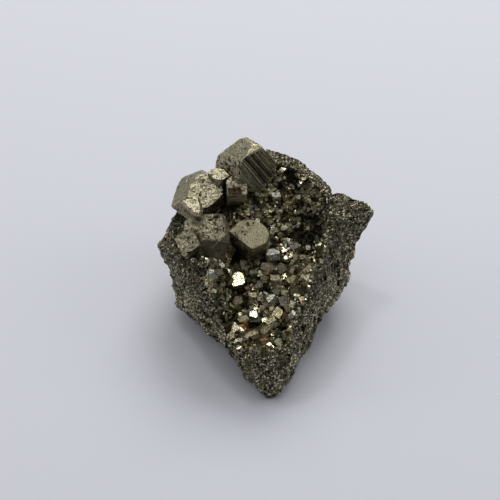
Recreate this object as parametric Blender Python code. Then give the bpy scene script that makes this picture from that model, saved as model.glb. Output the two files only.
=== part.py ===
"""A specimen of pyrite: a rough block of massive pyrite whose top is open in a pocket lined with
small crystals, with large crystals standing on the pocket's rim and on its floor.

Metres, +Z up. The origin is the middle of the flat facet that the block stands on. The block's
narrow prow points to -Y, its horn to +X, and its brow, the highest edge, lies at +Y.
"""

import math
import random
from itertools import product

import bmesh
import bpy
import numpy as np
from mathutils import Matrix, Vector
from mathutils.bvhtree import BVHTree

for old in list(bpy.data.objects):
    bpy.data.objects.remove(old)

MM = 0.001

# ---- Driving dimensions, in millimetres --------------------------------------------------

HEART = (0.0, 2.0, 6.0)  # the point inside the block that its skin is measured from
SKIN_DETAIL = 5  # subdivisions of the sphere that the skin is shaped from
GAP = 0.3  # clearance between one piece and the next

# Corners of the main block: a wedge with a prow in front and a high brow at the back.
BLOCK_CORNERS = (
    # underside, cut flat at z = 0 afterwards
    (1.0, -20.5, -2.5),
    (5.5, -16.0, -2.5),
    (10.3, -3.8, -2.5),
    (13.0, 8.0, -2.5),
    (8.0, 17.0, -2.5),
    (-8.0, 18.0, -2.5),
    (-15.5, 9.0, -2.5),
    (-12.5, -1.5, -2.5),
    (-6.0, -9.5, -2.5),
    # prow
    (-0.2, -22.9, 2.0),
    (2.7, -22.6, 2.2),
    (4.8, -21.0, 4.0),
    (-6.3, -18.3, 11.0),
    (1.0, -19.5, 11.5),
    (5.5, -17.5, 12.5),
    # right wall and rim
    (15.8, 0.4, 5.0),
    (19.9, 5.8, 9.0),
    (10.0, -8.5, 18.5),
    (14.0, 1.5, 22.0),
    (16.5, 10.0, 24.0),
    # left wall and rim
    (-20.3, -0.4, 5.2),
    (-21.0, 3.0, 9.0),
    (-21.9, 6.5, 13.0),
    (-25.1, 8.9, 16.9),
    (-21.8, 13.8, 20.3),
    (-13.5, -8.0, 18.5),
    (-16.5, 0.0, 22.0),
    # back wall and brow
    (-20.5, 19.0, 15.0),
    (-16.0, 24.5, 15.0),
    (-7.0, 28.5, 21.0),
    (-12.0, 26.0, 24.0),
    (-2.8, 28.2, 30.4),
    (1.0, 27.6, 29.7),
    (7.6, 25.4, 28.9),
    (15.3, 19.6, 25.6),
    (13.0, 20.0, 8.0),
    (-6.0, 24.5, 8.0),
    (-18.5, 16.0, 8.0),
)

# Corners of the horn, a spur of the block that stands out to the right.
HORN_CORNERS = (
    (10.0, 6.0, 6.0),
    (10.0, 18.0, 8.0),
    (19.9, 7.0, 10.0),
    (19.9, 11.3, 15.0),
    (25.4, 15.4, 20.9),
    (23.9, 17.1, 22.2),
    (18.0, 18.9, 24.3),
    (15.0, 8.0, 22.0),
    (12.0, 17.0, 24.5),
    (17.5, 17.0, 9.0),
)

# Corners of the shelf that is cut into the block's left shoulder, where large crystals stand. It
# is open above.
SHELF_FLOOR = (
    (-30.0, 0.0, 18.6),
    (-30.0, 24.0, 20.4),
    (-14.0, 32.0, 20.5),
    (-1.5, 32.0, 27.0),
    (-1.5, 16.0, 24.5),
    (-6.0, 6.0, 21.5),
    (-10.0, 1.0, 20.0),
    (-19.0, 0.0, 18.5),
)

POCKET_HEART = (0.0, 2.0, 25.0)  # the point inside the pocket that its walls are measured from
POCKET_DETAIL = 4  # subdivisions of the sphere that the pocket is shaped from
POCKET_SPREAD = 1.07  # how much wider the pocket is at the height of the sky than at its rim
POCKET_LUMPS = (5.0, 0.8)  # cell size and height of the lumps on its walls

# The pocket's rim, and the corners of its bare floor under the crust.
POCKET_RIM = (
    (-3.1, -17.5, 11.0),
    (1.0, -17.8, 11.0),
    (5.0, -16.5, 12.0),
    (6.8, -12.3, 15.0),
    (8.7, -7.6, 17.0),
    (11.2, -2.7, 20.0),
    (12.9, 2.3, 21.0),
    (13.7, 7.5, 22.0),
    (14.1, 12.7, 23.0),
    (13.2, 17.2, 25.0),
    (10.0, 20.7, 27.0),
    (7.0, 23.0, 28.5),
    (3.5, 24.0, 29.5),
    (-3.0, 20.5, 26.0),
    (-8.0, 15.0, 23.0),
    (-12.0, 7.0, 21.0),
    (-14.3, -2.7, 21.0),
    (-12.5, -6.3, 19.0),
    (-11.4, -10.2, 16.0),
    (-9.1, -14.7, 13.0),
    (-6.6, -17.5, 11.0),
)
POCKET_FLOOR = (
    (-4.5, -15.5, 8.0),
    (2.0, -15.5, 8.0),
    (-8.5, -10.0, 8.5),
    (5.0, -9.0, 9.5),
    (-10.5, -3.0, 10.0),
    (8.5, -1.0, 11.5),
    (-10.0, 5.0, 13.0),
    (10.5, 6.0, 13.0),
    (-6.5, 12.0, 16.0),
    (10.5, 13.0, 15.5),
    (-1.5, 17.5, 18.0),
    (8.0, 18.0, 18.5),
)
SKY = 50.0  # the pocket and the shelf are open up to this height

# Deeper hollows in the pocket's floor, each an ellipsoid: centre and half sizes.
DEEP_HOLLOWS = (
    ((-6.5, 5.5, 15.0), (4.0, 4.5, 5.5)),  # under the middle crystal
    ((10.5, 7.0, 15.5), (4.2, 4.5, 5.5)),  # below the right rim
    ((-8.8, -7.5, 11.0), (2.6, 4.5, 4.5)),  # along the left rim
)

# Relief of the broken surface: cell size and height of each octave of lumps, and of the
# flat-sided chips.
LUMPS = ((9.0, 0.75), (3.8, 0.40))
CHIPS = (4.2, 0.9)
RELIEF_SEED = 11

# Broad dents in the flanks of the prow: centre, radius and depth.
DENTS = (
    ((-9.5, -10.5, 3.0), 6.0, 1.5),
    ((12.8, -4.5, 3.5), 6.0, 1.3),
    ((8.6, -12.4, 3.5), 4.5, 0.8),
    ((21.9, 11.7, 16.0), 4.0, 1.3),
    ((-22.8, 11.2, 18.8), 3.0, 1.5),
    ((-23.6, 6.6, 14.0), 2.5, 0.5),
)

# The two ends of the clean break along the back right rim, how far from it the relief is lower, and
# by what share.
CLEAN_BREAK = ((0.0, 27.7, 30.0), (18.0, 18.9, 24.3))
CLEAN_BREAK_RADIUS = 3.5
CLEAN_BREAK_CALM = 0.75

# The crust of small crystals that lines the pocket.
CRUST_THICKNESS = 1.8
CRUST_BACK = 0.15  # how much further than GAP the crust's back lies from the pocket's wall
CRUST_EDGE = 1.3  # how far below the block's skin the crust ends
CRUST_SEED = 5
FINE_CRYSTALS = 64  # how many small crystals are scattered over the crust
CRYSTAL_SIZES = (0.8, 1.6)  # half size of the smallest and the largest scattered crystal
CRYSTAL_TRIES = 6000  # how many places are tried for them
CRYSTAL_SPACING = 0.95  # distance between two crystals, as a share of their half sizes added up
CRYSTAL_LIFT = 0.15  # how far a crystal stands out of the crust, as a share of its half size
SCATTER_X = (-14, 16)
SCATTER_Y = (-18, 25)
SMALL_CUBE = 0.85  # half side of a cube, as a share of the half size of its crystal
SCATTERED_CUBE = 0.8

# Single crystals of the crust, as (x, y, half size): the ones that catch the eye in front.
SET_CRYSTALS = (
    (1.4, 2.4, 1.75),
    (-6.3, -3.9, 1.7),
    (-12.0, -3.0, 1.7),
    (0.6, -0.6, 1.9),
    (4.2, -1.0, 1.6),
    (4.8, -3.4, 1.5),
    (-5.9, -8.9, 1.6),
    (1.4, -8.8, 1.2),
    (-2.6, -11.4, 1.4),
    (-7.0, -13.5, 1.3),
    (-3.0, -14.6, 1.5),
    (0.2, -13.9, 1.5),
    (3.2, -15.5, 1.3),
    (5.0, -11.6, 1.4),
    (8.0, 3.6, 1.4),
)


# ---- Relief: repeatable noise ------------------------------------------------------------


def lattice_random(corner, seed, channel=0):
    """One repeatable random number from 0 to 1 for each whole-number lattice corner."""
    with np.errstate(over="ignore"):
        c = corner.astype(np.int64)
        h = c[..., 0] * 374761393 + c[..., 1] * 668265263 + c[..., 2] * 2147483647
        h = (h + seed * 1274126177 + channel * 362437) & 0xFFFFFFFF
        h = ((h ^ (h >> 15)) * 2246822519) & 0xFFFFFFFF
        h = ((h ^ (h >> 13)) * 3266489917) & 0xFFFFFFFF
    return ((h ^ (h >> 16)) & 0xFFFFFF) / float(0xFFFFFF)


def lattice_vector(corner, seed, channels):
    """Three repeatable random numbers from 0 to 1 for each lattice corner."""
    return np.stack([lattice_random(corner, seed, channel) for channel in channels], axis=-1)


def lumps(points, cell, seed):
    """Smooth noise from -1 to 1: random values on a lattice of that cell size, blended between
    its corners."""
    p = points / cell
    base = np.floor(p)
    f = p - base
    f = f * f * (3 - 2 * f)
    total = np.zeros(len(points))
    for dx in (0, 1):
        for dy in (0, 1):
            for dz in (0, 1):
                weight = (
                    (f[:, 0] if dx else 1 - f[:, 0])
                    * (f[:, 1] if dy else 1 - f[:, 1])
                    * (f[:, 2] if dz else 1 - f[:, 2])
                )
                total += weight * lattice_random(base + (dx, dy, dz), seed)
    return 2 * total - 1


def chips(points, cell, seed):
    """Flat-sided relief from -1 to 1: space falls into cells round scattered seeds, and each
    cell is one tilted plane."""
    p = points / cell
    base = np.floor(p)
    nearest = np.full(len(points), np.inf)
    height = np.zeros(len(points))
    for dx in (-1, 0, 1):
        for dy in (-1, 0, 1):
            for dz in (-1, 0, 1):
                corner = base + (dx, dy, dz)
                away = p - corner - lattice_vector(corner, seed, (1, 2, 3))
                tilt = lattice_vector(corner, seed, (4, 5, 6)) * 2 - 1
                distance = (away**2).sum(axis=1)
                closer = distance < nearest
                nearest = np.where(closer, distance, nearest)
                height = np.where(closer, (tilt * away).sum(axis=1), height)
    return height


# ---- The block's skin and the pocket's walls, each measured outwards from a point inside it ----


def planes_of(corners):
    """Unit normals and distances of the faces of the convex body round these corners."""
    body = bmesh.new()
    for corner in corners:
        body.verts.new(corner)
    bmesh.ops.convex_hull(body, input=body.verts)
    body.normal_update()
    middle = np.mean(corners, axis=0)
    normals, distances = [], []
    for face in body.faces:
        normal = np.array(face.normal)
        distance = float(normal @ np.array(face.verts[0].co))
        side = 1.0 if distance > normal @ middle else -1.0
        normals.append(side * normal)
        distances.append(side * distance)
    body.free()
    return np.array(normals), np.array(distances)


def crossings(directions, heart, corners):
    """How far each ray from the heart runs before it enters and before it leaves the convex body
    round these corners. A ray that misses the body enters it at infinity and leaves it at 0."""
    normals, distances = planes_of(corners)
    along = directions @ normals.T
    room = distances - normals @ np.array(heart)
    with np.errstate(divide="ignore", invalid="ignore"):
        crossing = room / along
    leave = np.where(along > 1e-9, crossing, np.inf).min(axis=1)
    enter = np.where(along < -1e-9, crossing, -np.inf).max(axis=1)
    hit = leave > np.maximum(enter, 0)
    return np.where(hit, enter, np.inf), np.where(hit, leave, 0.0)


def with_sky(floor, spread):
    """The corners of a floor, and above each of them one at the height of the sky, moved out by
    this factor."""
    return (*floor, *((x * spread, y * spread, SKY) for x, y, _ in floor))


def reach_of_ellipsoid(directions, heart, centre, half_sizes):
    """How far each ray from the heart runs before it leaves the ellipsoid (0 if it misses it)."""
    start = (np.array(heart) - centre) / half_sizes
    step = directions / half_sizes
    a = (step**2).sum(axis=1)
    b = step @ start
    root = np.maximum(b * b - a * ((start**2).sum() - 1), 0)
    return np.where(root > 0, np.maximum((-b + np.sqrt(root)) / a, 0), 0.0)


def near_clean_break(points):
    """1 on the clean break along the back right rim, falling to 0 away from it."""
    start, end = np.array(CLEAN_BREAK)
    share = np.clip((points - start) @ (end - start) / ((end - start) ** 2).sum(), 0, 1)
    nearest = start + share[:, None] * (end - start)
    return np.exp(-(((points - nearest) / CLEAN_BREAK_RADIUS) ** 2).sum(axis=1))


def relief(points):
    """Lumps, chips and dents of broken rock, in mm. They are lower along the clean break."""
    rough = np.zeros(len(points))
    for octave, (cell, height) in enumerate(LUMPS):
        rough += height * lumps(points, cell, RELIEF_SEED + octave)
    cell, height = CHIPS
    rough += height * chips(points, cell, RELIEF_SEED + 7)
    rough *= 1 - CLEAN_BREAK_CALM * near_clean_break(points)
    for centre, radius, depth in DENTS:
        rough -= depth * np.exp(-(((points - centre) / radius) ** 2).sum(axis=1))
    return rough


def skin_reach(directions):
    """The outer surface of the block with its horn and its shelf, as if it had no pocket."""
    block = crossings(directions, HEART, BLOCK_CORNERS)[1]
    horn = crossings(directions, HEART, HORN_CORNERS)[1]
    shelf = crossings(directions, HEART, with_sky(SHELF_FLOOR, 1.0))[0]
    smooth = np.minimum(np.maximum(block, horn), shelf)
    return smooth + relief(np.array(HEART) + directions * smooth[:, None])


def pocket_reach(directions):
    """The pocket's bare walls and floor."""
    corners = (*POCKET_FLOOR, *with_sky(POCKET_RIM, POCKET_SPREAD))
    smooth = crossings(directions, POCKET_HEART, corners)[1]
    for centre, half_sizes in DEEP_HOLLOWS:
        hollow = reach_of_ellipsoid(directions, POCKET_HEART, centre, half_sizes)
        smooth = np.maximum(smooth, hollow)
    points = np.array(POCKET_HEART) + directions * smooth[:, None]
    cell, height = POCKET_LUMPS
    return smooth + height * lumps(points, cell, RELIEF_SEED + 9)


def sphere(detail):
    """A sphere mesh, and the direction of each of its vertices."""
    shell = bmesh.new()
    bmesh.ops.create_icosphere(shell, subdivisions=detail, radius=1.0)
    return shell, np.array([v.co.normalized() for v in shell.verts])


def move_vertices(shell, points):
    """Puts the vertices at these points, given in mm."""
    for vertex, point in zip(shell.verts, points):
        vertex.co = Vector(point) * MM


# ---- Objects, materials and Booleans -----------------------------------------------------


def material(name, colour, roughness, metallic):
    made = bpy.data.materials.new(name)
    made.use_nodes = True
    shader = made.node_tree.nodes["Principled BSDF"]
    shader.inputs["Base Color"].default_value = (*colour, 1.0)
    shader.inputs["Roughness"].default_value = roughness
    shader.inputs["Metallic"].default_value = metallic
    return made


def new_object(name, shell, collection, finish=None):
    """A mesh object from this shell. Without a finish it is a helper, and isn't drawn."""
    mesh = bpy.data.meshes.new(name)
    shell.to_mesh(mesh)
    shell.free()
    made = bpy.data.objects.new(name, mesh)
    collection.objects.link(made)
    if finish:
        mesh.materials.append(finish)
    else:
        made.hide_render = True
        made.display_type = "WIRE"
    return made


def new_collection(name):
    made = bpy.data.collections.new(name)
    bpy.context.scene.collection.children.link(made)
    return made


def boolean(target, operation, others):
    """Adds a Boolean with another object or with a whole collection."""
    modifier = target.modifiers.new(operation.title(), "BOOLEAN")
    modifier.operation = operation
    modifier.solver = "EXACT"
    if isinstance(others, bpy.types.Collection):
        modifier.operand_type = "COLLECTION"
        modifier.collection = others
    else:
        modifier.object = others


def keep_largest_body(target):
    """Applies the modifiers and drops the loose crumbs that the cuts leave."""
    bpy.context.view_layer.update()
    shape = target.evaluated_get(bpy.context.evaluated_depsgraph_get())
    mesh = bpy.data.meshes.new_from_object(shape)
    target.modifiers.clear()
    target.data = mesh
    shell = bmesh.new()
    shell.from_mesh(mesh)
    left = set(shell.verts)
    bodies = []
    while left:
        seed = left.pop()
        body, edge_of_search = {seed}, [seed]
        while edge_of_search:
            vertex = edge_of_search.pop()
            for edge in vertex.link_edges:
                other = edge.other_vert(vertex)
                if other in left:
                    left.remove(other)
                    body.add(other)
                    edge_of_search.append(other)
        bodies.append(body)
    largest = max(bodies, key=len)
    bmesh.ops.delete(shell, geom=[v for v in shell.verts if v not in largest], context="VERTS")
    shell.to_mesh(mesh)
    shell.free()


# ---- Crystals ----------------------------------------------------------------------------


def facing(normal, spin=0.0):
    """The rotation whose Z axis is this normal and whose X axis is level, turned by spin degrees
    about the normal."""
    z = Vector(normal).normalized()
    x = (Vector((1, 0, 0)) - z * z.x).normalized()
    frame = Matrix((x, z.cross(x), z)).transposed()
    return frame @ Matrix.Rotation(math.radians(spin), 3, "Z")


def cut_cube(half_sizes, cuts, grow=0.0):
    """A cube crystal with its corners and edges cut off by planes, each (normal, distance from
    the middle), in mm."""
    shell = bmesh.new()
    bmesh.ops.create_cube(shell, size=2.0)
    for vertex in shell.verts:
        vertex.co = Vector(c * (h + grow) for c, h in zip(vertex.co, half_sizes))
    cut_corners(shell, cuts, grow)
    return shell


def cut_corners(shell, cuts, grow=0.0):
    """Cuts off what lies beyond each plane, given as (normal, distance from the middle), and
    closes the cuts."""
    for normal, distance in cuts:
        normal = Vector(normal).normalized()
        cut = bmesh.ops.bisect_plane(
            shell,
            geom=shell.verts[:] + shell.edges[:] + shell.faces[:],
            plane_co=normal * (distance + grow),
            plane_no=normal,
            clear_outer=True,
        )
        rim = [e for e in cut["geom_cut"] if isinstance(e, bmesh.types.BMEdge)]
        if rim:
            bmesh.ops.contextual_create(shell, geom=rim)


RIB_DEPTHS = (0.25, 1.0)  # the shallowest and the deepest groove, as shares of the ribs' depth
LOW_CREST = 0.3  # how much lower every third crest is, as a share of that depth
RIB_FOOT = 0.35  # where a rib's groove and its crest lie, as shares of the rib's width
RIB_CREST = 0.85


def ribbed_cube(half_sizes, ribs, depth, cuts, grow=0.0):
    """A cube crystal whose +Z face is stepped by growth ribs that run along X: ribs is their
    number, depth the height of the deepest step. The room round it is left plain."""
    along, across, up = half_sizes
    if grow:
        return cut_cube(half_sizes, cuts, grow)
    pick = random.Random(RELIEF_SEED)
    profile = [(-across, -up), (across, -up), (across, up)]
    for rib in range(ribs):
        foot = up - depth * pick.uniform(*RIB_DEPTHS)
        crest = up if rib % 3 else up - depth * LOW_CREST
        profile.append((across * (1 - 2 * (rib + RIB_FOOT) / ribs), foot))
        profile.append((across * (1 - 2 * (rib + RIB_CREST) / ribs), crest))
    profile.append((-across, up))
    shell = bmesh.new()
    side = shell.faces.new([shell.verts.new((-along, y, z)) for y, z in profile])
    raised = bmesh.ops.extrude_face_region(shell, geom=[side], use_keep_orig=True)
    ends = [g for g in raised["geom"] if isinstance(g, bmesh.types.BMVert)]
    bmesh.ops.translate(shell, verts=ends, vec=(2 * along, 0, 0))
    cut_corners(shell, cuts, grow)
    bmesh.ops.recalc_face_normals(shell, faces=shell.faces)
    return shell


FOOT_DRAWS_IN = 0.1  # how far a tabular crystal's foot lies inside its broad face, in flares


def tabular(outline, depth, shoulder, flare, lean=(0.0, 0.0), grow=0.0):
    """A crystal with one broad flat face of this outline: its edges are bevelled by a shoulder,
    which widens it by flare and shifts it by lean, and its sides then draw in down to depth, all
    in mm. The broad face lies at z = 0, facing +Z."""
    shell = bmesh.new()
    for share, z in ((0.0, grow), (1.0, -shoulder), (-FOOT_DRAWS_IN, -depth - grow)):
        for x, y in outline:
            scale = 1 + (share * flare + grow) / math.hypot(x, y)
            shell.verts.new((x * scale + share * lean[0], y * scale + share * lean[1], z))
    hull = bmesh.ops.convex_hull(shell, input=shell.verts)
    spare = hull["geom_interior"] + hull["geom_unused"]
    inner = {g for g in spare if isinstance(g, bmesh.types.BMVert)}
    bmesh.ops.delete(shell, geom=list(inner), context="VERTS")
    bmesh.ops.recalc_face_normals(shell, faces=shell.faces)
    return shell


CORNER_NORMALS = tuple(product((1, -1), repeat=3))


def pyritohedron(size, cube=0.92, corner=1.12):
    """Pyrite's own form: twelve five-sided faces, with the cube's faces and the cube's cut
    corners showing between them."""
    cuts = []
    for long_axis, p, q in product(range(3), (1, -1), (1, -1)):
        normal = [0.0, 0.0, 0.0]
        normal[long_axis] = 2.0 * p
        normal[(long_axis + 1) % 3] = 1.0 * q
        cuts.append((normal, size))
    for signs in CORNER_NORMALS:
        cuts.append((signs, size * corner))
    half = size / cube
    return cut_cube((half, half, half), cuts)


def small_cube(size, corner=1.5):
    """A small cube with its corners cut."""
    return cut_cube((size, size, size), [(signs, size * corner) for signs in CORNER_NORMALS])


def place(shell, centre_mm, turn):
    """Turns a crystal, moves it to its place in mm and brings it to metres."""
    shift = Matrix.Translation(Vector(centre_mm) * MM) @ turn.to_4x4() @ Matrix.Scale(MM, 4)
    bmesh.ops.transform(shell, matrix=shift, verts=shell.verts)
    return shell


# ---- The large crystals ------------------------------------------------------------------

# The ribbed crystal's ribs run along its first axis, and its ribbed face lies along its third.
RIB_AXIS = Vector((0.54, -0.07, -0.84)).normalized()
RIB_FACE = Vector((0.50, -0.78, 0.38))
RIB_FACE = (RIB_FACE - RIB_AXIS * RIB_AXIS.dot(RIB_FACE)).normalized()
RIBBED_FRAME = Matrix((RIB_AXIS, RIB_FACE.cross(RIB_AXIS), RIB_FACE)).transposed()

# Planes that blunt the ribbed crystal's corners and edges: (normal, distance from the middle in mm).
BROW_CUTS = (
    ((-1, 0.45, 1), 6.56),
    ((-1, -1, 0.2), 4.8),
    ((-1, 0.3, -1), 5.8),
    ((0.2, -1, 1), 5.6),
    ((-1, 0.8, -0.6), 6.45),
    ((-1, 1, 0), 6.3),
    ((1, 1, 0), 5.5),
    ((1, -1, 0.3), 6.0),
    ((1, 0.6, -1), 6.5),
)

# Outlines of the broad faces, seen square on, in mm from the crystal's centre.
BROAD_FACE = (
    (-3.6, 2.4),
    (-2.8, 4.1),
    (0.2, 5.4),
    (3.9, 1.9),
    (4.0, -0.6),
    (0.9, -4.0),
    (-0.8, -4.4),
    (-4.6, -1.3),
)
BRIGHT_FACE = ((-2.2, 0.9), (0.3, 2.1), (1.4, 1.6), (2.0, -0.9), (1.9, -2.8), (0.3, -2.2))
ROUGH_FACE = (
    (-4.3, 3.2),
    (-0.8, 4.3),
    (4.0, 4.2),
    (5.3, 0.6),
    (5.0, -2.0),
    (1.6, -4.4),
    (-2.5, -4.3),
    (-4.7, -1.6),
)
MIDDLE_FACE = (
    (-4.9, 0.6),
    (-2.6, 3.3),
    (-0.6, 4.0),
    (1.6, 3.7),
    (3.7, 2.0),
    (4.6, 0.2),
    (3.9, -2.0),
    (0.6, -3.8),
    (-0.2, -3.3),
)


def large_crystals():
    """Name -> the crystals grown into one another there, each as (shape, its arguments, centre in
    mm, rotation)."""
    brow = (ribbed_cube, ((4.9, 5.1, 4.7), 9, 0.45, BROW_CUTS), (-4.5, 23.4, 28.35), RIBBED_FRAME)
    broad = (
        tabular,
        (BROAD_FACE, 9.5, 3.4, 2.7, (-1.5, 0.0)),
        (-13.7, 16.7, 26.5),
        facing((-0.05, -0.25, 0.95)),
    )
    bright = (
        tabular,
        (BRIGHT_FACE, 5.0, 1.0, 0.7),
        (-17.0, 13.4, 26.2),
        facing((-0.14, -0.16, 0.98)),
    )
    bud_cuts = (((1, 1, 1), 2.4), ((-1, -1, 1), 2.6))
    bud = (cut_cube, ((1.7, 2.0, 2.2), bud_cuts), (-10.8, 20.6, 26.9), facing((0, -0.2, 0.98), 40))
    stub_cuts = (((1, 1, 1), 4.1), ((-1, 1, 1), 3.9), ((1, -1, 1), 4.4))
    stub = (
        cut_cube,
        ((2.3, 2.5, 3.6), stub_cuts),
        (-6.9, 18.3, 24.9),
        facing((0.1, -0.3, 0.95), 6),
    )
    rough = (
        tabular,
        (ROUGH_FACE, 10.0, 2.0, 0.9),
        (-14.3, 8.1, 22.6),
        facing((-0.2, -0.3, 0.93)),
    )
    knob_cuts = (((1, -1, 1), 4.6), ((-1, 1, 1), 4.9), ((-1, -1, 0), 4.0))
    knob = (
        cut_cube,
        ((3.4, 3.3, 2.6), knob_cuts),
        (-12.9, 5.6, 18.9),
        facing((0.3, -0.85, 0.45), -14),
    )
    heel = (cut_cube, ((2.4, 2.8, 3.0), ()), (-16.6, 6.4, 19.8), facing((-0.45, -0.35, 0.8), 30))
    middle = (tabular, (MIDDLE_FACE, 8.5, 1.6, 0.6), (-3.5, 7.7, 22.0), facing((0.1, -0.3, 0.95)))
    return {
        "rim_crystals": (brow, broad, bright, bud, stub),
        "rough_crystal": (rough, knob, heel),
        "middle_crystal": (middle,),
    }


def build_large_crystals(collection, sockets, helpers, finish):
    """One object for each large crystal with the twins grown into it, cut clear of the crystals
    made before it. The room that other pieces leave for each goes in sockets."""
    finished, earlier_rooms = [], []
    for name, shapes in large_crystals().items():
        rooms = []
        for number, (shape, arguments, centre, turn) in enumerate(shapes):
            room = place(shape(*arguments, grow=GAP), centre, turn)
            rooms.append(new_object(f"{name}_room_{number}", room, sockets))
            shell = place(shape(*arguments), centre, turn)
            if number == 0:
                crystal = new_object(name, shell, collection, finish)
            else:
                boolean(crystal, "UNION", new_object(f"{name}_twin_{number}", shell, helpers))
        for room in earlier_rooms:
            boolean(crystal, "DIFFERENCE", room)
        earlier_rooms += rooms
        finished.append(crystal)
    for crystal in finished:
        keep_largest_body(crystal)


# ---- The matrix: the massive block under everything --------------------------------------


def pocket_shell(shrink=0.0):
    """The pocket as a closed body, made smaller by shrink."""
    shell, directions = sphere(POCKET_DETAIL)
    reach = pocket_reach(directions) - shrink
    move_vertices(shell, np.array(POCKET_HEART) + directions * reach[:, None])
    return shell


def build_matrix(collection, sockets, helpers, finish):
    """A sphere whose vertices are moved out to the block's skin, standing on a facet cut flat at
    z = 0, with the pocket and a socket for each large crystal cut out of it."""
    shell, directions = sphere(SKIN_DETAIL)
    points = np.array(HEART) + directions * skin_reach(directions)[:, None]
    points[:, 2] = np.maximum(points[:, 2], 0.0)
    move_vertices(shell, points)
    matrix = new_object("matrix", shell, collection, finish)
    boolean(matrix, "DIFFERENCE", new_object("pocket", pocket_shell(), helpers))
    boolean(matrix, "DIFFERENCE", sockets)
    keep_largest_body(matrix)


# ---- The crust: small crystals grown together over the pocket's walls and floor ----------


def below_skin(points):
    """How far inside the block's skin each point lies, measured along the ray from the block's heart."""
    away = points - np.array(HEART)
    distance = np.linalg.norm(away, axis=1)
    return skin_reach(away / distance[:, None]) - distance


def crust_sheet():
    """The closed sheet under the small crystals: the pocket's walls and floor up to the rim,
    thickened inwards."""
    shell, directions = sphere(POCKET_DETAIL)
    reach = pocket_reach(directions) - GAP - CRUST_BACK
    back = np.array(POCKET_HEART) + directions * reach[:, None]
    front = np.array(POCKET_HEART) + directions * (reach - CRUST_THICKNESS)[:, None]
    inside = below_skin(back) > CRUST_EDGE
    move_vertices(shell, back)
    lifted = {tuple(v.co): Vector(point) * MM for v, point in zip(shell.verts, front)}
    outside = [v for v, keep in zip(shell.verts, inside) if not keep]
    bmesh.ops.delete(shell, geom=outside, context="VERTS")
    keep_one_patch(shell)
    raised = bmesh.ops.extrude_face_region(shell, geom=shell.faces[:], use_keep_orig=True)
    for vertex in (g for g in raised["geom"] if isinstance(g, bmesh.types.BMVert)):
        vertex.co = lifted[tuple(vertex.co)]
    bmesh.ops.recalc_face_normals(shell, faces=shell.faces)
    return shell


def keep_one_patch(shell):
    """Keeps the largest patch of faces, and drops the faces of its rim that hang on by a corner only."""
    left = set(shell.faces)
    patches = []
    while left:
        first = left.pop()
        patch, front = {first}, [first]
        while front:
            for edge in front.pop().edges:
                for other in edge.link_faces:
                    if other in left:
                        left.remove(other)
                        patch.add(other)
                        front.append(other)
        patches.append(patch)
    largest = max(patches, key=len)
    others = [f for f in shell.faces if f not in largest]
    bmesh.ops.delete(shell, geom=others, context="FACES")
    corner_only = [v for v in shell.verts if sum(e.is_boundary for e in v.link_edges) > 2]
    bmesh.ops.delete(shell, geom=corner_only, context="VERTS")


def from_above(tree, x, y):
    """The first point of the crust that is met from the sky at x, y, and the normal there."""
    return tree.ray_cast(Vector((x, y, SKY)) * MM, Vector((0, 0, -1)))[:2]


def scattered_spots(tree, pick):
    """The set crystals and, between them, the scattered ones, each as (x, y, half size)."""
    spots = list(SET_CRYSTALS)
    low, high = CRYSTAL_SIZES
    for _ in range(CRYSTAL_TRIES):
        if len(spots) == len(SET_CRYSTALS) + FINE_CRYSTALS:
            break
        x = pick.uniform(*SCATTER_X)
        y = pick.uniform(*SCATTER_Y)
        size = low + (high - low) * pick.random() ** 2
        free = all(
            math.hypot(x - a, y - b) > CRYSTAL_SPACING * (size + other) for a, b, other in spots
        )
        if free and from_above(tree, x, y)[0]:
            spots.append((x, y, size))
    return spots


def small_crystal(number, size):
    """The crystal at this place in the list of spots: the set ones have their corners cut."""
    hand_set = number < len(SET_CRYSTALS)
    if number % 2 == 0:
        return pyritohedron(size) if hand_set else pyritohedron(size, cube=0.8, corner=2.0)
    return small_cube(size * SMALL_CUBE) if hand_set else cut_cube([size * SCATTERED_CUBE] * 3, ())


def build_crust(collection, sockets, grains, helpers, finish):
    """The sheet with its crystals joined on, and room left round the large crystals."""
    shell = crust_sheet()
    tree = BVHTree.FromBMesh(shell)
    pick = random.Random(CRUST_SEED)
    for number, (x, y, size) in enumerate(scattered_spots(tree, pick)):
        found, normal = from_above(tree, x, y)
        if not found:
            continue
        up = (pick.uniform(-1, 1), pick.uniform(-1, 1), pick.uniform(0.4, 1))
        turn = facing(up, pick.uniform(0, 90))
        centre = found / MM + normal * size * CRYSTAL_LIFT
        grain = place(small_crystal(number, size), centre, turn)
        new_object(f"grain_{number}", grain, grains)
    crust = new_object("pocket_crust", shell, collection, finish)
    boolean(crust, "UNION", grains)
    boolean(crust, "INTERSECT", new_object("crust_room", pocket_shell(GAP), helpers))
    boolean(crust, "DIFFERENCE", sockets)
    keep_largest_body(crust)


# ---- Assembly ----------------------------------------------------------------------------

specimen = new_collection("pyrite_specimen")
helpers = new_collection("helpers")
sockets = new_collection("crystal_sockets")
grains = new_collection("crust_grains")

massive_pyrite = material("massive pyrite", (0.16, 0.145, 0.105), 0.55, 0.8)
crystal_pyrite = material("crystal pyrite", (0.55, 0.48, 0.31), 0.32, 1.0)
druse_pyrite = material("druse pyrite", (0.50, 0.43, 0.26), 0.25, 1.0)

build_large_crystals(specimen, sockets, helpers, crystal_pyrite)
build_matrix(specimen, sockets, helpers, massive_pyrite)
build_crust(specimen, sockets, grains, helpers, druse_pyrite)

for piece in specimen.objects:
    piece.data.shade_flat()
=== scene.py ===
# %% [markdown]
# # A pyrite specimen, dressed for a portrait
#
# The real thing is one broken block of massive pyrite, about 5 cm across. Its top is open in a pocket
# whose walls are lined with small bright crystals, and large crystals stand on the pocket's rim and
# floor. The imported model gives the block, the crust and the large crystals as plain faceted solids. This
# script makes the surfaces that the eye sees: broken rock, growth ribs, pits, terraces and some thousands
# of small crystals.
#
# Lengths are in millimetres, because that is how one would measure the specimen, and they become metres
# in one place only, where a mesh is made.

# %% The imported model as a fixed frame
import math

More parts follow.
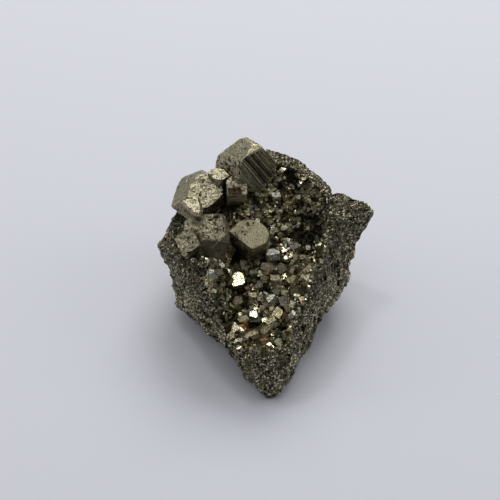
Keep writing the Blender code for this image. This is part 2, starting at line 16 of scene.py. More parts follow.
import bmesh
import bpy
import numpy as np
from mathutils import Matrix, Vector
from mathutils.bvhtree import BVHTree


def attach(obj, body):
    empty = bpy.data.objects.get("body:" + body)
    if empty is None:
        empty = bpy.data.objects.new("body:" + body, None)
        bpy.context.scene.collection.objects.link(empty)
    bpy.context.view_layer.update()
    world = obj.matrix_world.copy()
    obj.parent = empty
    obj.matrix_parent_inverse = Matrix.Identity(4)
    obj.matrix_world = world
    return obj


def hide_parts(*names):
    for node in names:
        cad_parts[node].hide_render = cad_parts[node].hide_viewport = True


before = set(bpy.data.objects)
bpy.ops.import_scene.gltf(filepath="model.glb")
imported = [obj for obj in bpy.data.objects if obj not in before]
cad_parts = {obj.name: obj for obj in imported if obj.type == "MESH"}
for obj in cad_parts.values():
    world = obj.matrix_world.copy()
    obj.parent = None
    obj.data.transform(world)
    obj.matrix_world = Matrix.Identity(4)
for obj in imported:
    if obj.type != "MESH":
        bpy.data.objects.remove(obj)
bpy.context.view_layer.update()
MM = 0.001
print("solids in the frame:", ", ".join(sorted(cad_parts)))

# %% [markdown]
# ## The camera
#
# The specimen is seen from in front and from well above, 50 degrees over the horizon, from about a hand's
# length away with a long lens. The lens is found from the scale that is wanted at the middle of the
# specimen: so many millimetres to one pixel of a 500 pixel picture.

# %% Camera
CAMERA_ELEVATION = 50.0
CAMERA_DISTANCE = 340.0
MM_PER_PIXEL = 0.235
FRAME_PIXELS = 500
LOOK_AT = np.array((-3.5, 9.7, 14.0))
SENSOR = 36.0

camera_data = bpy.data.cameras.new("camera")
camera_data.sensor_width = SENSOR
camera_data.lens = SENSOR * CAMERA_DISTANCE / (FRAME_PIXELS * MM_PER_PIXEL)
camera = bpy.data.objects.new("camera", camera_data)
tilt = math.radians(CAMERA_ELEVATION)
look = np.array((0.0, math.cos(tilt), -math.sin(tilt)))
eye = LOOK_AT - CAMERA_DISTANCE * look
camera.location = Vector(eye) * MM
camera.rotation_euler = (math.pi / 2 - tilt, 0, 0)
bpy.context.scene.collection.objects.link(camera)
bpy.context.scene.camera = camera
print(f"lens {camera_data.lens:.1f} mm at {CAMERA_DISTANCE:.0f} mm")

# %% [markdown]
# ## Finishes as node trees
#
# A finish is a tree of small nodes, each of which measures or mixes one thing. These helpers make one
# node each, so that a finish further down reads as a recipe: noise of this size, stretched to that range,
# blending those colours.

# %% Shader node helpers
def node(tree, kind, inputs=None, **settings):
    """One shader node: settings are its properties, and inputs are values or the sockets to link from."""
    made = tree.nodes.new(kind)
    for name, value in settings.items():
        setattr(made, name, value)
    for name, value in (inputs or {}).items():
        if isinstance(value, bpy.types.NodeSocket):
            tree.links.new(value, made.inputs[name])
        else:
            made.inputs[name].default_value = value
    return made


def in_millimetres(tree):
    """The object's own coordinates, in millimetres."""
    place = node(tree, "ShaderNodeTexCoord").outputs["Object"]
    return node(tree, "ShaderNodeMapping", {"Vector": place, "Scale": (1 / MM,) * 3}).outputs["Vector"]


def noise(tree, where, size, detail=3.0):
    """Cloudy noise whose patches are about this many mm across."""
    made = node(tree, "ShaderNodeTexNoise", {"Vector": where, "Scale": 1 / size, "Detail": detail})
    return made.outputs["Fac"]


def grains(tree, where, size, output="Color"):
    """Grains of about this many mm: one random colour for each, or the distance from its middle."""
    return node(tree, "ShaderNodeTexVoronoi", {"Vector": where, "Scale": 1 / size}).outputs[output]


def stretch(tree, value, low, high, to_low=0.0, to_high=1.0):
    """Maps the range from low to high onto another, and holds what lies beyond."""
    inputs = {"Value": value, "From Min": low, "From Max": high, "To Min": to_low, "To Max": to_high}
    return node(tree, "ShaderNodeMapRange", inputs, clamp=True).outputs["Result"]


def blend(tree, share, first, second, mode="MIX"):
    """Mixes two colours, sockets or values, by a share."""
    made = node(tree, "ShaderNodeMix", data_type="RGBA", blend_type=mode)
    sockets = {socket.identifier: socket for socket in made.inputs}
    for name, value in (("Factor_Float", share), ("A_Color", first), ("B_Color", second)):
        if isinstance(value, bpy.types.NodeSocket):
            tree.links.new(value, sockets[name])
        else:
            sockets[name].default_value = value if name == "Factor_Float" else (*value, 1.0)
    return next(socket for socket in made.outputs if socket.identifier == "Result_Color")


def grey(tree, value):
    """A colour whose red, green and blue all have this value."""
    parts = {"Red": value, "Green": value, "Blue": value}
    return node(tree, "ShaderNodeCombineColor", parts).outputs["Color"]


def read_from_mesh(tree, name):
    """The node that reads this attribute of the mesh."""
    return node(tree, "ShaderNodeAttribute", attribute_name=name, attribute_type="GEOMETRY")


def bumped(tree, shader, height, distance, **settings):
    """Lets the shader's normal follow a height, of this many mm from 0 to 1."""
    inputs = {"Height": height, "Distance": distance * MM, "Strength": 1.0}
    bump = node(tree, "ShaderNodeBump", inputs, **settings)
    tree.links.new(bump.outputs["Normal"], shader.inputs["Normal"])


def metal(name, metallic):
    """A new metal finish, its node tree and its shader."""
    made = bpy.data.materials.new(name)
    made.use_nodes = True
    shader = made.node_tree.nodes["Principled BSDF"]
    shader.inputs["Metallic"].default_value = metallic
    return made, made.node_tree, shader


print("node helpers ready")

# %% [markdown]
# ## The studio
#
# Metal shows what stands round it, so the lamps are the finish as much as the material is. The main lamp
# stands behind, half way up the sky, and throws a soft shadow towards the viewer. A dimmer broad one
# overhead is what the level faces mirror, a small hard one is what single crystals catch, and a weak one
# stands on each side. The room itself is bright overhead and behind, and dim in front, so every face that
# looks back at the viewer goes dark.

# %% Floor, lamps and room
ROOM_TOP = (0.0, 0.5, 0.866)
ROOM_DIM = 0.055
ROOM_BRIGHT = 0.42
ROOM_COLOUR = (0.86, 0.87, 0.90, 1)
LAMPS_AIM = (0, 5, 12)
DAYLIGHT = (1.0, 0.99, 0.97)
WARM_LIGHT = (1.0, 0.98, 0.94)
PAPER_COLOUR = (0.83, 0.845, 0.92, 1)
PAPER_ROUGHNESS = 0.9
PAPER_SHINE = 0.1
FLOOR_SIZE = 4.0
FLOOR_MIDDLE = (0, 0.5, 0)


def area_lamp(name, place, size, power, colour=(1.0, 1.0, 1.0)):
    """A square lamp at this place in mm, turned to face the middle of the specimen."""
    data = bpy.data.lights.new(name, "AREA")
    data.size = size * MM
    data.energy = power
    data.color = colour
    lamp = bpy.data.objects.new(name, data)
    lamp.location = Vector(place) * MM
    lamp.rotation_euler = (Vector(LAMPS_AIM) - Vector(place)).to_track_quat("-Z", "Y").to_euler()
    bpy.context.scene.collection.objects.link(lamp)
    return lamp


def graded_room():
    """Light from all round. Its strength follows the dot product of each direction with that of the
    room's top."""
    room = bpy.data.worlds.new("room")
    room.use_nodes = True
    tree = room.node_tree
    direction = node(tree, "ShaderNodeTexCoord").outputs["Generated"]
    towards_top = node(tree, "ShaderNodeVectorMath", {0: direction, 1: ROOM_TOP}, operation="DOT_PRODUCT")
    strength = stretch(tree, towards_top.outputs["Value"], -0.4, 1.0, ROOM_DIM, ROOM_BRIGHT)
    tree.links.new(strength, tree.nodes["Background"].inputs["Strength"])
    tree.nodes["Background"].inputs["Color"].default_value = ROOM_COLOUR
    return room


area_lamp("lamp_behind", (140, 600, 560), size=450, power=3.05, colour=DAYLIGHT)
area_lamp("lamp_overhead", (-40, 160, 750), size=600, power=0.5, colour=DAYLIGHT)
area_lamp("lamp_spark", (-154, 294, 616), size=90, power=0.35, colour=WARM_LIGHT)
area_lamp("lamp_right", (600, 100, 350), size=300, power=0.40)
area_lamp("lamp_left", (-650, 120, 260), size=300, power=0.45)
bpy.context.scene.world = graded_room()
bpy.context.scene.view_settings.view_transform = "Standard"
bpy.context.scene.view_settings.look = "None"

floor_material = bpy.data.materials.new("pale_paper")
floor_material.use_nodes = True
paper = floor_material.node_tree.nodes["Principled BSDF"]
paper.inputs["Base Color"].default_value = PAPER_COLOUR
paper.inputs["Roughness"].default_value = PAPER_ROUGHNESS
paper.inputs["Specular IOR Level"].default_value = PAPER_SHINE
bpy.ops.mesh.primitive_plane_add(size=FLOOR_SIZE, location=FLOOR_MIDDLE)
floor = bpy.context.object
floor.name = "floor"
floor.data.materials.append(floor_material)

# %% [markdown]
# ## Repeatable noise
#
# Rock needs irregularity, and it has to come out the same each time. Each corner of an endless lattice
# gets its fixed random numbers from a hash of its whole-number coordinates. Three kinds of relief are
# built on that: smooth lumps, flat-sided chips, and the corners of small cubes, because pyrite breaks and
# grows in cubes.

# %% Random numbers on a lattice
def lattice_random(corner, seed, channel=0):
    """One repeatable random number from 0 to 1 for each whole-number lattice corner."""
    with np.errstate(over="ignore"):
        c = corner.astype(np.int64)
        h = c[..., 0] * 374761393 + c[..., 1] * 668265263 + c[..., 2] * 2147483647
        h = (h + seed * 1274126177 + channel * 362437) & 0xFFFFFFFF
        h = ((h ^ (h >> 15)) * 2246822519) & 0xFFFFFFFF
        h = ((h ^ (h >> 13)) * 3266489917) & 0xFFFFFFFF
    return ((h ^ (h >> 16)) & 0xFFFFFF) / float(0xFFFFFF)


def lattice_randoms(corner, seed, channels):
    """Several random numbers for each corner, as columns."""
    return np.stack([lattice_random(corner, seed, k) for k in channels], axis=-1)


print("a lattice corner's number:", round(lattice_random(np.array((1.0, 2.0, 3.0)), 0), 3))

# %% Lumps and chips
NEIGHBOURS = [(x, y, z) for x in (-1, 0, 1) for y in (-1, 0, 1) for z in (-1, 0, 1)]


def lumps(points, cell, seed):
    """Smooth noise from -1 to 1: the values at a lattice cell's eight corners, blended by the cube of
    the way across."""
    p = points / cell
    base = np.floor(p)
    f = p - base
    f = f * f * (3 - 2 * f)
    total = np.zeros(points.shape[:-1])
    for corner in [(x, y, z) for x in (0, 1) for y in (0, 1) for z in (0, 1)]:
        weight = np.prod(np.where(corner, f, 1 - f), axis=-1)
        total += weight * lattice_random(base + corner, seed)
    return 2 * total - 1


def chips(points, cell, seed):
    """Flat-sided relief from -1 to 1: each point takes the tilted plane of the scattered seed that is
    nearest to it."""
    p = points / cell
    base = np.floor(p)
    nearest = np.full(p.shape[:-1], np.inf)
    height = np.zeros(p.shape[:-1])
    for step in NEIGHBOURS:
        corner = base + step
        away = p - corner - lattice_randoms(corner, seed, (1, 2, 3))
        tilt_of_cell = lattice_randoms(corner, seed, (4, 5, 6)) * 2 - 1
        distance = (away**2).sum(axis=-1)
        closer = distance < nearest
        nearest = np.where(closer, distance, nearest)
        height = np.where(closer, (tilt_of_cell * away).sum(axis=-1), height)
    return height


print("cells that a point looks at for its nearest seed:", len(NEIGHBOURS))

# %% Little cubes
# heights and half sizes of the cubes, as shares of a cell
BETWEEN_CUBES = -0.15
SMALLEST_CUBE = 0.35
CUBE_RANGE = 0.4


def cube_grains(points, cell, seed):
    """Small cubes at all angles: each scattered seed is a cube turned by its own random quaternion,
    and the height is how deep the point lies inside the cube that holds it deepest, in mm."""
    p = points / cell
    base = np.floor(p)
    height = np.full(p.shape[:-1], BETWEEN_CUBES)
    for step in NEIGHBOURS:
        corner = base + step
        away = p - corner - lattice_randoms(corner, seed, (1, 2, 3))
        turn = lattice_randoms(corner, seed, (4, 5, 6, 7)) - 0.5
        turn /= np.linalg.norm(turn, axis=-1, keepdims=True) + 1e-9
        axis, angle_part = turn[..., :3], turn[..., 3:]
        turned = away + 2 * np.cross(axis, np.cross(axis, away) + angle_part * away)
        radius = SMALLEST_CUBE + CUBE_RANGE * lattice_random(corner, seed, 8)
        height = np.maximum(height, radius - np.abs(turned).max(axis=-1))
    return height * cell


print("half sizes of the cubes:", SMALLEST_CUBE, "to", SMALLEST_CUBE + CUBE_RANGE, "of a cell")

# %% Steps and layers
def smooth_step(value, low, high):
    """0 below low, 1 above high, and an S curve between."""
    t = np.clip((value - low) / (high - low), 0, 1)
    return t * t * (3 - 2 * t)


def layered(points, layers):
    """The sum of several layers of relief, each listed as (kind, height in mm, cell in mm, seed)."""
    return sum(height * kind(points, cell, seed) for kind, height, cell, seed in layers)


print("noise helpers ready")

# %% [markdown]
# ## The block's own dimensions
#
# The block is a convex wedge with a horn, less a shelf on its left shoulder, less the pocket. Corners fix
# each convex body, and its surface is then measured outwards along rays from a point inside it. These are
# the same named values that the solid model was built from, so the dressed block sits exactly where its
# solid does.

# %% Corners of the block
HEART = np.array((0.0, 2.0, 6.0))
POCKET_HEART = np.array((0.0, 2.0, 25.0))
SKY = 50.0
POCKET_SPREAD = 1.07
RELIEF_SEED = 11

BLOCK_CORNERS = (
    # underside
    (1.0, -20.5, -2.5),
    (5.5, -16.0, -2.5),
    (10.3, -3.8, -2.5),
    (13.0, 8.0, -2.5),
    (8.0, 17.0, -2.5),
    (-8.0, 18.0, -2.5),
    (-15.5, 9.0, -2.5),
    (-12.5, -1.5, -2.5),
    (-6.0, -9.5, -2.5),
    # prow
    (-0.2, -22.9, 2.0),
    (2.7, -22.6, 2.2),
    (4.8, -21.0, 4.0),
    (-6.3, -18.3, 11.0),
    (1.0, -19.5, 11.5),
    (5.5, -17.5, 12.5),
    # right wall and rim
    (15.8, 0.4, 5.0),
    (19.9, 5.8, 9.0),
    (10.0, -8.5, 18.5),
    (14.0, 1.5, 22.0),
    (16.5, 10.0, 24.0),
    # left wall and rim
    (-20.3, -0.4, 5.2),
    (-21.0, 3.0, 9.0),
    (-21.9, 6.5, 13.0),
    (-25.1, 8.9, 16.9),
    (-21.8, 13.8, 20.3),
    (-13.5, -8.0, 18.5),
    (-16.5, 0.0, 22.0),
    # back wall and brow
    (-20.5, 19.0, 15.0),
    (-16.0, 24.5, 15.0),
    (-7.0, 28.5, 21.0),
    (-12.0, 26.0, 24.0),
    (-2.8, 28.2, 30.4),
    (1.0, 27.6, 29.7),
    (7.6, 25.4, 28.9),
    (15.3, 19.6, 25.6),
    (13.0, 20.0, 8.0),
    (-6.0, 24.5, 8.0),
    (-18.5, 16.0, 8.0),
)
print("corners of the wedge:", len(BLOCK_CORNERS))

# %% Corners of the horn and of the shelf
HORN_CORNERS = (
    (10.0, 6.0, 6.0),
    (10.0, 18.0, 8.0),
    (19.9, 7.0, 10.0),
    (19.9, 11.3, 15.0),
    (25.4, 15.4, 20.9),
    (23.9, 17.1, 22.2),
    (18.0, 18.9, 24.3),
    (15.0, 8.0, 22.0),
    (12.0, 17.0, 24.5),
    (17.5, 17.0, 9.0),
)
SHELF_FLOOR = (
    (-30.0, 0.0, 18.6),
    (-30.0, 24.0, 20.4),
    (-14.0, 32.0, 20.5),
    (-1.5, 32.0, 27.0),
    (-1.5, 16.0, 24.5),
    (-6.0, 6.0, 21.5),
    (-10.0, 1.0, 20.0),
    (-19.0, 0.0, 18.5),
)
print("corners of the horn:", len(HORN_CORNERS), "of the shelf:", len(SHELF_FLOOR))

# %% Corners of the pocket
POCKET_RIM = (
    (-3.1, -17.5, 11.0),
    (1.0, -17.8, 11.0),
    (5.0, -16.5, 12.0),
    (6.8, -12.3, 15.0),
    (8.7, -7.6, 17.0),
    (11.2, -2.7, 20.0),
    (12.9, 2.3, 21.0),
    (13.7, 7.5, 22.0),
    (14.1, 12.7, 23.0),
    (13.2, 17.2, 25.0),
    (10.0, 20.7, 27.0),
    (7.0, 23.0, 28.5),
    (3.5, 24.0, 29.5),
    (-3.0, 20.5, 26.0),
    (-8.0, 15.0, 23.0),
    (-12.0, 7.0, 21.0),
    (-14.3, -2.7, 21.0),
    (-12.5, -6.3, 19.0),
    (-11.4, -10.2, 16.0),
    (-9.1, -14.7, 13.0),
    (-6.6, -17.5, 11.0),
)
POCKET_FLOOR = (
    (-4.5, -15.5, 8.0),
    (2.0, -15.5, 8.0),
    (-8.5, -10.0, 8.5),
    (5.0, -9.0, 9.5),
    (-10.5, -3.0, 10.0),
    (8.5, -1.0, 11.5),
    (-10.0, 5.0, 13.0),
    (10.5, 6.0, 13.0),
    (-6.5, 12.0, 16.0),
    (10.5, 13.0, 15.5),
    (-1.5, 17.5, 18.0),
    (8.0, 18.0, 18.5),
)
print("corners of the pocket's rim:", len(POCKET_RIM), "of its floor:", len(POCKET_FLOOR))

# %% Hollows, dents and the clean break
# centre and half sizes of each hollow in the pocket
DEEP_HOLLOWS = (
    ((-6.5, 5.5, 15.0), (4.0, 4.5, 5.5)),
    ((10.5, 7.0, 15.5), (4.2, 4.5, 5.5)),
    ((-8.8, -7.5, 11.0), (2.6, 4.5, 4.5)),
)
# centre, radius and depth of each dent in the walls
DENTS = (
    ((-9.5, -10.5, 3.0), 6.0, 1.5),
    ((12.8, -4.5, 3.5), 6.0, 1.3),
    ((8.6, -12.4, 3.5), 4.5, 0.8),
    ((21.9, 11.7, 16.0), 4.0, 1.3),
    ((-22.8, 11.2, 18.8), 3.0, 1.5),
    ((-23.6, 6.6, 14.0), 2.5, 0.5),
)
# the two ends of the straight stretch of the rim behind the horn
CLEAN_BREAK = ((0.0, 27.7, 30.0), (18.0, 18.9, 24.3))
CLEAN_BREAK_RADIUS = 3.5
CLEAN_BREAK_CALM = 0.75
print("hollows:", len(DEEP_HOLLOWS), "dents:", len(DENTS))

# %% Rays through convex bodies
PARALLEL = 1e-9


def planes_of(corners):
    """Unit normals and distances of the faces of the convex body round these corners."""
    body = bmesh.new()
    for corner in corners:
        body.verts.new(corner)
    bmesh.ops.convex_hull(body, input=body.verts)
    body.normal_update()
    normals = np.array([face.normal for face in body.faces])
    distances = np.array([face.normal.dot(face.verts[0].co) for face in body.faces])
    side = np.sign(distances - normals @ np.mean(corners, axis=0))
    body.free()
    return normals * side[:, None], distances * side


def crossings(directions, heart, corners):
    """Where each ray from the heart enters and leaves a convex body: it has entered once it is behind
    every plane that faces it, and has left at the first plane that it passes going out."""
    normals, distances = planes_of(corners)
    along = directions @ normals.T
    with np.errstate(divide="ignore", invalid="ignore"):
        crossing = (distances - normals @ heart) / along
    leave = np.where(along > PARALLEL, crossing, np.inf).min(axis=-1)
    enter = np.where(along < -PARALLEL, crossing, -np.inf).max(axis=-1)
    hit = leave > np.maximum(enter, 0)
    return np.where(hit, enter, np.inf), np.where(hit, leave, 0.0)


def with_sky(low_corners, spread):
    """Corners of a floor, and above each one at the height of the sky, moved out by this factor."""
    return (*low_corners, *((x * spread, y * spread, SKY) for x, y, _ in low_corners))


def reach_of_ellipsoid(directions, heart, centre, half_sizes):
    """How far each ray from the heart runs before it leaves the ellipsoid: the larger root of a
    quadratic."""
    start = (heart - centre) / half_sizes
    step = directions / half_sizes
    a = (step**2).sum(axis=-1)
    b = step @ start
    root = np.maximum(b * b - a * ((start**2).sum() - 1), 0)
    return np.where(root > 0, np.maximum((-b + np.sqrt(root)) / a, 0), 0.0)


print("faces of the wedge:", len(planes_of(BLOCK_CORNERS)[0]))

# %% Reach of the block and of the pocket
COARSE_LAYERS = (
    (lumps, 0.75, 9.0, RELIEF_SEED),
    (lumps, 0.40, 3.8, RELIEF_SEED + 1),
    (chips, 0.9, 4.2, RELIEF_SEED + 7),
)
POCKET_LAYERS = ((lumps, 0.8, 5.0, RELIEF_SEED + 9),)


def near_clean_break(points):
    """1 on the clean break along the back right rim, falling to 0 away from it as a bell curve of the
    distance from the line between its ends."""
    start, end = np.array(CLEAN_BREAK)
    share = np.clip((points - start) @ (end - start) / ((end - start) ** 2).sum(), 0, 1)
    nearest = start + share[..., None] * (end - start)
    return np.exp(-(((points - nearest) / CLEAN_BREAK_RADIUS) ** 2).sum(axis=-1))


def coarse_relief(points):
    """The lumps, chips and dents that the solid model already has, in mm. A dent is a bell curve of
    the distance."""
    height = layered(points, COARSE_LAYERS) * (1 - CLEAN_BREAK_CALM * near_clean_break(points))
    for centre, radius, depth in DENTS:
        height -= depth * np.exp(-(((points - centre) / radius) ** 2).sum(axis=-1))
    return height


def skin_reach(directions):
    """The block's outer surface along rays from its heart, as if it had no pocket."""
    block = crossings(directions, HEART, BLOCK_CORNERS)[1]
    horn = crossings(directions, HEART, HORN_CORNERS)[1]
    shelf = crossings(directions, HEART, with_sky(SHELF_FLOOR, 1.0))[0]
    smooth = np.minimum(np.maximum(block, horn), shelf)
    return smooth + coarse_relief(HEART + directions * smooth[..., None])


def pocket_reach(directions):
    """The pocket's bare walls and floor along rays from the pocket's own heart."""
    main = crossings(directions, POCKET_HEART, (*POCKET_FLOOR, *with_sky(POCKET_RIM, POCKET_SPREAD)))[1]
    hollows = [reach_of_ellipsoid(directions, POCKET_HEART, *h) for h in DEEP_HOLLOWS]
    smooth = np.max([main, *hollows], axis=0)
    return smooth + layered(POCKET_HEART + directions * smooth[..., None], POCKET_LAYERS)


straight_up = np.array((0.0, 0.0, 1.0))
print("block's skin straight over its heart:", skin_reach(straight_up).round(1), "mm")

# %% [markdown]
# ## From arrays to meshes
#
# A surface is worked out as one array of points on a grid, and a mesh is made from it in a single step.
# The grids here are like a globe's: the columns close on themselves, and one point at each end closes the
# poles.

# %% Mesh helpers
def globe_faces(rows, columns):
    """Faces of a closed grid whose first and last vertex are its poles and whose rows run round
    between them."""
    row = np.arange(rows - 1)[:, None] * columns
    column = np.arange(columns)[None, :]
    beside = (column + 1) % columns
    above = row + columns
    quads = 1 + np.stack([row + column, row + beside, above + beside, above + column], axis=-1)
    first, last = 0, 1 + rows * columns
    ring = np.arange(columns)
    ring_beside = (ring + 1) % columns
    low_fan = np.stack([np.full(columns, first), 1 + ring_beside, 1 + ring], axis=-1)
    top = 1 + (rows - 1) * columns
    high_fan = np.stack([np.full(columns, last), top + ring, top + ring_beside], axis=-1)
    return quads.reshape(-1, 4).tolist() + low_fan.tolist() + high_fan.tolist()


def make_piece(name, points, faces, finish):
    """A mesh object from points in mm."""
    mesh = bpy.data.meshes.new(name)
    mesh.from_pydata((np.asarray(points) * MM).tolist(), [], faces)
    mesh.validate()
    mesh.materials.append(finish)
    piece = bpy.data.objects.new(name, mesh)
    bpy.context.scene.collection.objects.link(piece)
    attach(piece, "root")
    return piece


def mark_pit_shade(piece, heights, shallow, deep):
    """Keeps on each point how hollow it is, for the finish to paint shade into: 0 above the shallow
    level, 1 below the deep."""
    layer = piece.data.attributes.new("hollow", "FLOAT", "POINT")
    layer.data.foreach_set("value", smooth_step(-np.asarray(heights), shallow, deep).ravel())


def triangle_count(*pieces):
    """How many triangles these pieces have in all."""
    for piece in pieces:
        piece.data.calc_loop_triangles()
    return sum(len(piece.data.loop_triangles) for piece in pieces)


def slopes(grid):
    """Outward unit normals of a globe grid: the cross product of its differences along columns and
    along rows."""
    round_it = np.roll(grid, -1, axis=1) - np.roll(grid, 1, axis=1)
    up_it = np.gradient(grid, axis=0)
    normal = np.cross(round_it, up_it)
    return normal / (np.linalg.norm(normal, axis=-1, keepdims=True) + 1e-12)


print("mesh helpers ready")

# %% [markdown]
# ## The large crystals' finish
#
# Pyrite is a metal to the eye: all its colour is in its reflection, so the metallic value is high
# everywhere and what changes from place to place is colour, roughness and bump. A large crystal has a
# satin growth skin, clouded where it is a little tarnished. The pits are real relief, so the finish doesn't
# have to draw them, but it paints shade into them: it reads from the mesh how deep each point lies, and
# darkens that as painted shade. Five recipes of one function serve all the large crystals. All patterns
# are measured in millimetres on the object's own coordinates.

# %% The large crystals' finish
# painted shade: the colour that the pits and grooves of the large crystals are darkened towards
PAINTED_PIT_SHADE = (0.06, 0.048, 0.027)
SPECKS = (0.14, 0.118, 0.07)


def growth_finish(name, clean, dull, roughness, bump_height):
    """A satin growth skin. Colour: clean and dull metal in clouds, small dark specks, and painted shade
    in the hollows that the shape marks. Roughness: between two values with the fine noise. Bump: the
    fine noise and the specks."""
    made, tree, shader = metal(name, 1.0)
    where = in_millimetres(tree)
    hollow = read_from_mesh(tree, "hollow").outputs["Fac"]
    clouds = stretch(tree, noise(tree, where, size=2.4), 0.35, 0.65)
    fine = noise(tree, where, size=0.30)
    specks = stretch(tree, noise(tree, where, size=0.30, detail=1.0), 0.36, 0.46)
    colour = blend(tree, clouds, clean, dull)
    colour = blend(tree, specks, SPECKS, colour)
    # painted shade in the pits and grooves that the mesh marks
    colour = blend(tree, hollow, colour, PAINTED_PIT_SHADE)
    tree.links.new(colour, shader.inputs["Base Color"])
    rough = stretch(tree, fine, 0.3, 0.7, *roughness)
    tree.links.new(rough, shader.inputs["Roughness"])
    bumped(tree, shader, blend(tree, 0.5, fine, specks), bump_height)
    return made


# name, clean metal, dull metal, range of roughness, height of the bumps in mm
GROWTH_FINISHES = (
    ("brow_pyrite", (0.54, 0.50, 0.34), (0.41, 0.38, 0.25), (0.28, 0.44), 0.10),
    ("pale_pyrite", (0.47, 0.43, 0.30), (0.39, 0.355, 0.25), (0.26, 0.40), 0.05),
    ("tan_pyrite", (0.37, 0.342, 0.225), (0.295, 0.272, 0.178), (0.30, 0.44), 0.035),
    ("rough_pyrite", (0.56, 0.52, 0.37), (0.33, 0.305, 0.205), (0.28, 0.50), 0.09),
    ("dusky_pyrite", (0.17, 0.158, 0.11), (0.11, 0.10, 0.065), (0.28, 0.42), 0.035),
)
growth = {name: growth_finish(name, *recipe) for name, *recipe in GROWTH_FINISHES}
print("finishes:", ", ".join(growth))

# %% [markdown]
# ## The small crystals' finish
#
# The lining of the pocket is the brightest part of the specimen: each little crystal is a clean mirror
# with a tarnish of its own, from brass to silver, olive and rust. One material for each colour would make
# the list of materials long, and a random colour for each object would need thousands of objects. Here
# one mesh holds them all, and a colour attribute carries each crystal's tint, with its roughness as the
# alpha.

# %% The small crystals' finish
def druse_finish():
    """Bright metal, its colour read from each crystal's own tint and mottled by fine clouds. Roughness
    is kept in the tint's alpha, so that each crystal also shines in its own way."""
    made, tree, shader = metal("druse_pyrite", 1.0)
    where = in_millimetres(tree)
    tint = read_from_mesh(tree, "tint")
    clouds = stretch(tree, noise(tree, where, size=0.45, detail=4.0), 0.36, 0.60, 0.30, 1.12)
    colour = blend(tree, 1.0, tint.outputs["Color"], grey(tree, clouds), "MULTIPLY")
    tree.links.new(colour, shader.inputs["Base Color"])
    tree.links.new(tint.outputs["Alpha"], shader.inputs["Roughness"])
    bumped(tree, shader, noise(tree, where, size=0.22), 0.05)
    return made


druse_pyrite = druse_finish()
print("finish:", druse_pyrite.name)

# %% [markdown]
# ## The block's finish
#
# Broken massive pyrite is a mass of grains a third of a millimetre across. A few of them turn a clean
# face to the light and glitter, and most are dull or dirty. A Voronoi texture suits that better than
# cloudy noise, because it gives each grain a random colour of its own: a threshold on its red picks the
# clean grains, and one on its green the black ones.

# %% The block's finish
GRAIN_SIZE = 0.32
OLIVE = (0.19, 0.171, 0.114)
OLIVE_BROWN = (0.27, 0.241, 0.149)
CLEAN_METAL = (0.92, 0.85, 0.62)
NEARLY_BLACK = (0.02, 0.017, 0.01)
# painted shade: the colour that the block's pits are darkened towards
BLOCK_PIT_SHADE = (0.03, 0.025, 0.015)
SHADE_STARTS = 12.0
SHADE_FULL = 20.0
SHADE = 0.52


def massive_finish():
    """A granular mass. Colour: olive brown, one grain in five of clean metal, three in ten nearly
    black, painted shade in the hollows that the shape marks, and all of it darker on the heights.
    Roughness: low on the clean grains. Bump: the grains' own heights in two sizes."""
    made, tree, shader = metal("massive_pyrite", 0.9)
    where = in_millimetres(tree)
    hollow = read_from_mesh(tree, "hollow").outputs["Fac"]
    grain = node(tree, "ShaderNodeSeparateColor", {"Color": grains(tree, where, GRAIN_SIZE)}).outputs
    clean = stretch(tree, grain["Red"], 0.72, 0.86)
    dark = stretch(tree, grain["Green"], 0.20, 0.38)
    clouds = stretch(tree, noise(tree, where, size=4.0), 0.38, 0.62)
    colour = blend(tree, clouds, OLIVE, OLIVE_BROWN)
    colour = blend(tree, clean, colour, CLEAN_METAL)
    colour = blend(tree, dark, NEARLY_BLACK, colour)
    # painted shade in the block's pits that the mesh marks
    colour = blend(tree, hollow, colour, BLOCK_PIT_SHADE)
    up = node(tree, "ShaderNodeSeparateXYZ", {"Vector": where}).outputs["Z"]
    heights = stretch(tree, up, SHADE_STARTS, SHADE_FULL, 1.0, SHADE)
    colour = blend(tree, 1.0, colour, grey(tree, heights), "MULTIPLY")
    tree.links.new(colour, shader.inputs["Base Color"])
    tree.links.new(stretch(tree, clean, 0.0, 1.0, 0.48, 0.24), shader.inputs["Roughness"])
    coarse = grains(tree, where, GRAIN_SIZE, "Distance")
    fine = grains(tree, where, GRAIN_SIZE / 2, "Distance")
    bumped(tree, shader, blend(tree, 0.45, coarse, fine), 0.2, invert=True)
    return made


massive_pyrite = massive_finish()
print("finish:", massive_pyrite.name)

# %% [markdown]
# ## The block
#
# On the real specimen this is massive pyrite broken out of the vein: flat-sided breaks, a striated left
# wall, and a pocket whose rim is a sharp broken edge. Cutting a pocket out with a Boolean would leave
# long thin triangles at the rim, just where the eye goes. So the whole block is one globe grid instead.
# Each of its meridians is a profile that climbs the outside from the middle of the underside to the rim,
# and then turns over and goes down the pocket's wall.

# %% Where each meridian turns over
def rays(azimuth, elevation):
    """Unit directions: east by the azimuth and up by the elevation, both in radians."""
    azimuth, elevation = np.broadcast_arrays(azimuth, elevation)
    flat = np.cos(elevation)
    return np.stack([flat * np.cos(azimuth), flat * np.sin(azimuth), np.sin(elevation)], axis=-1)


def reach_below_rim(points):
    """How far inside the pocket each point lies: the pocket's reach along its ray, less its own
    distance."""
    away = points - POCKET_HEART
    distance = np.linalg.norm(away, axis=-1)
    return pocket_reach(away / distance[..., None]) - distance


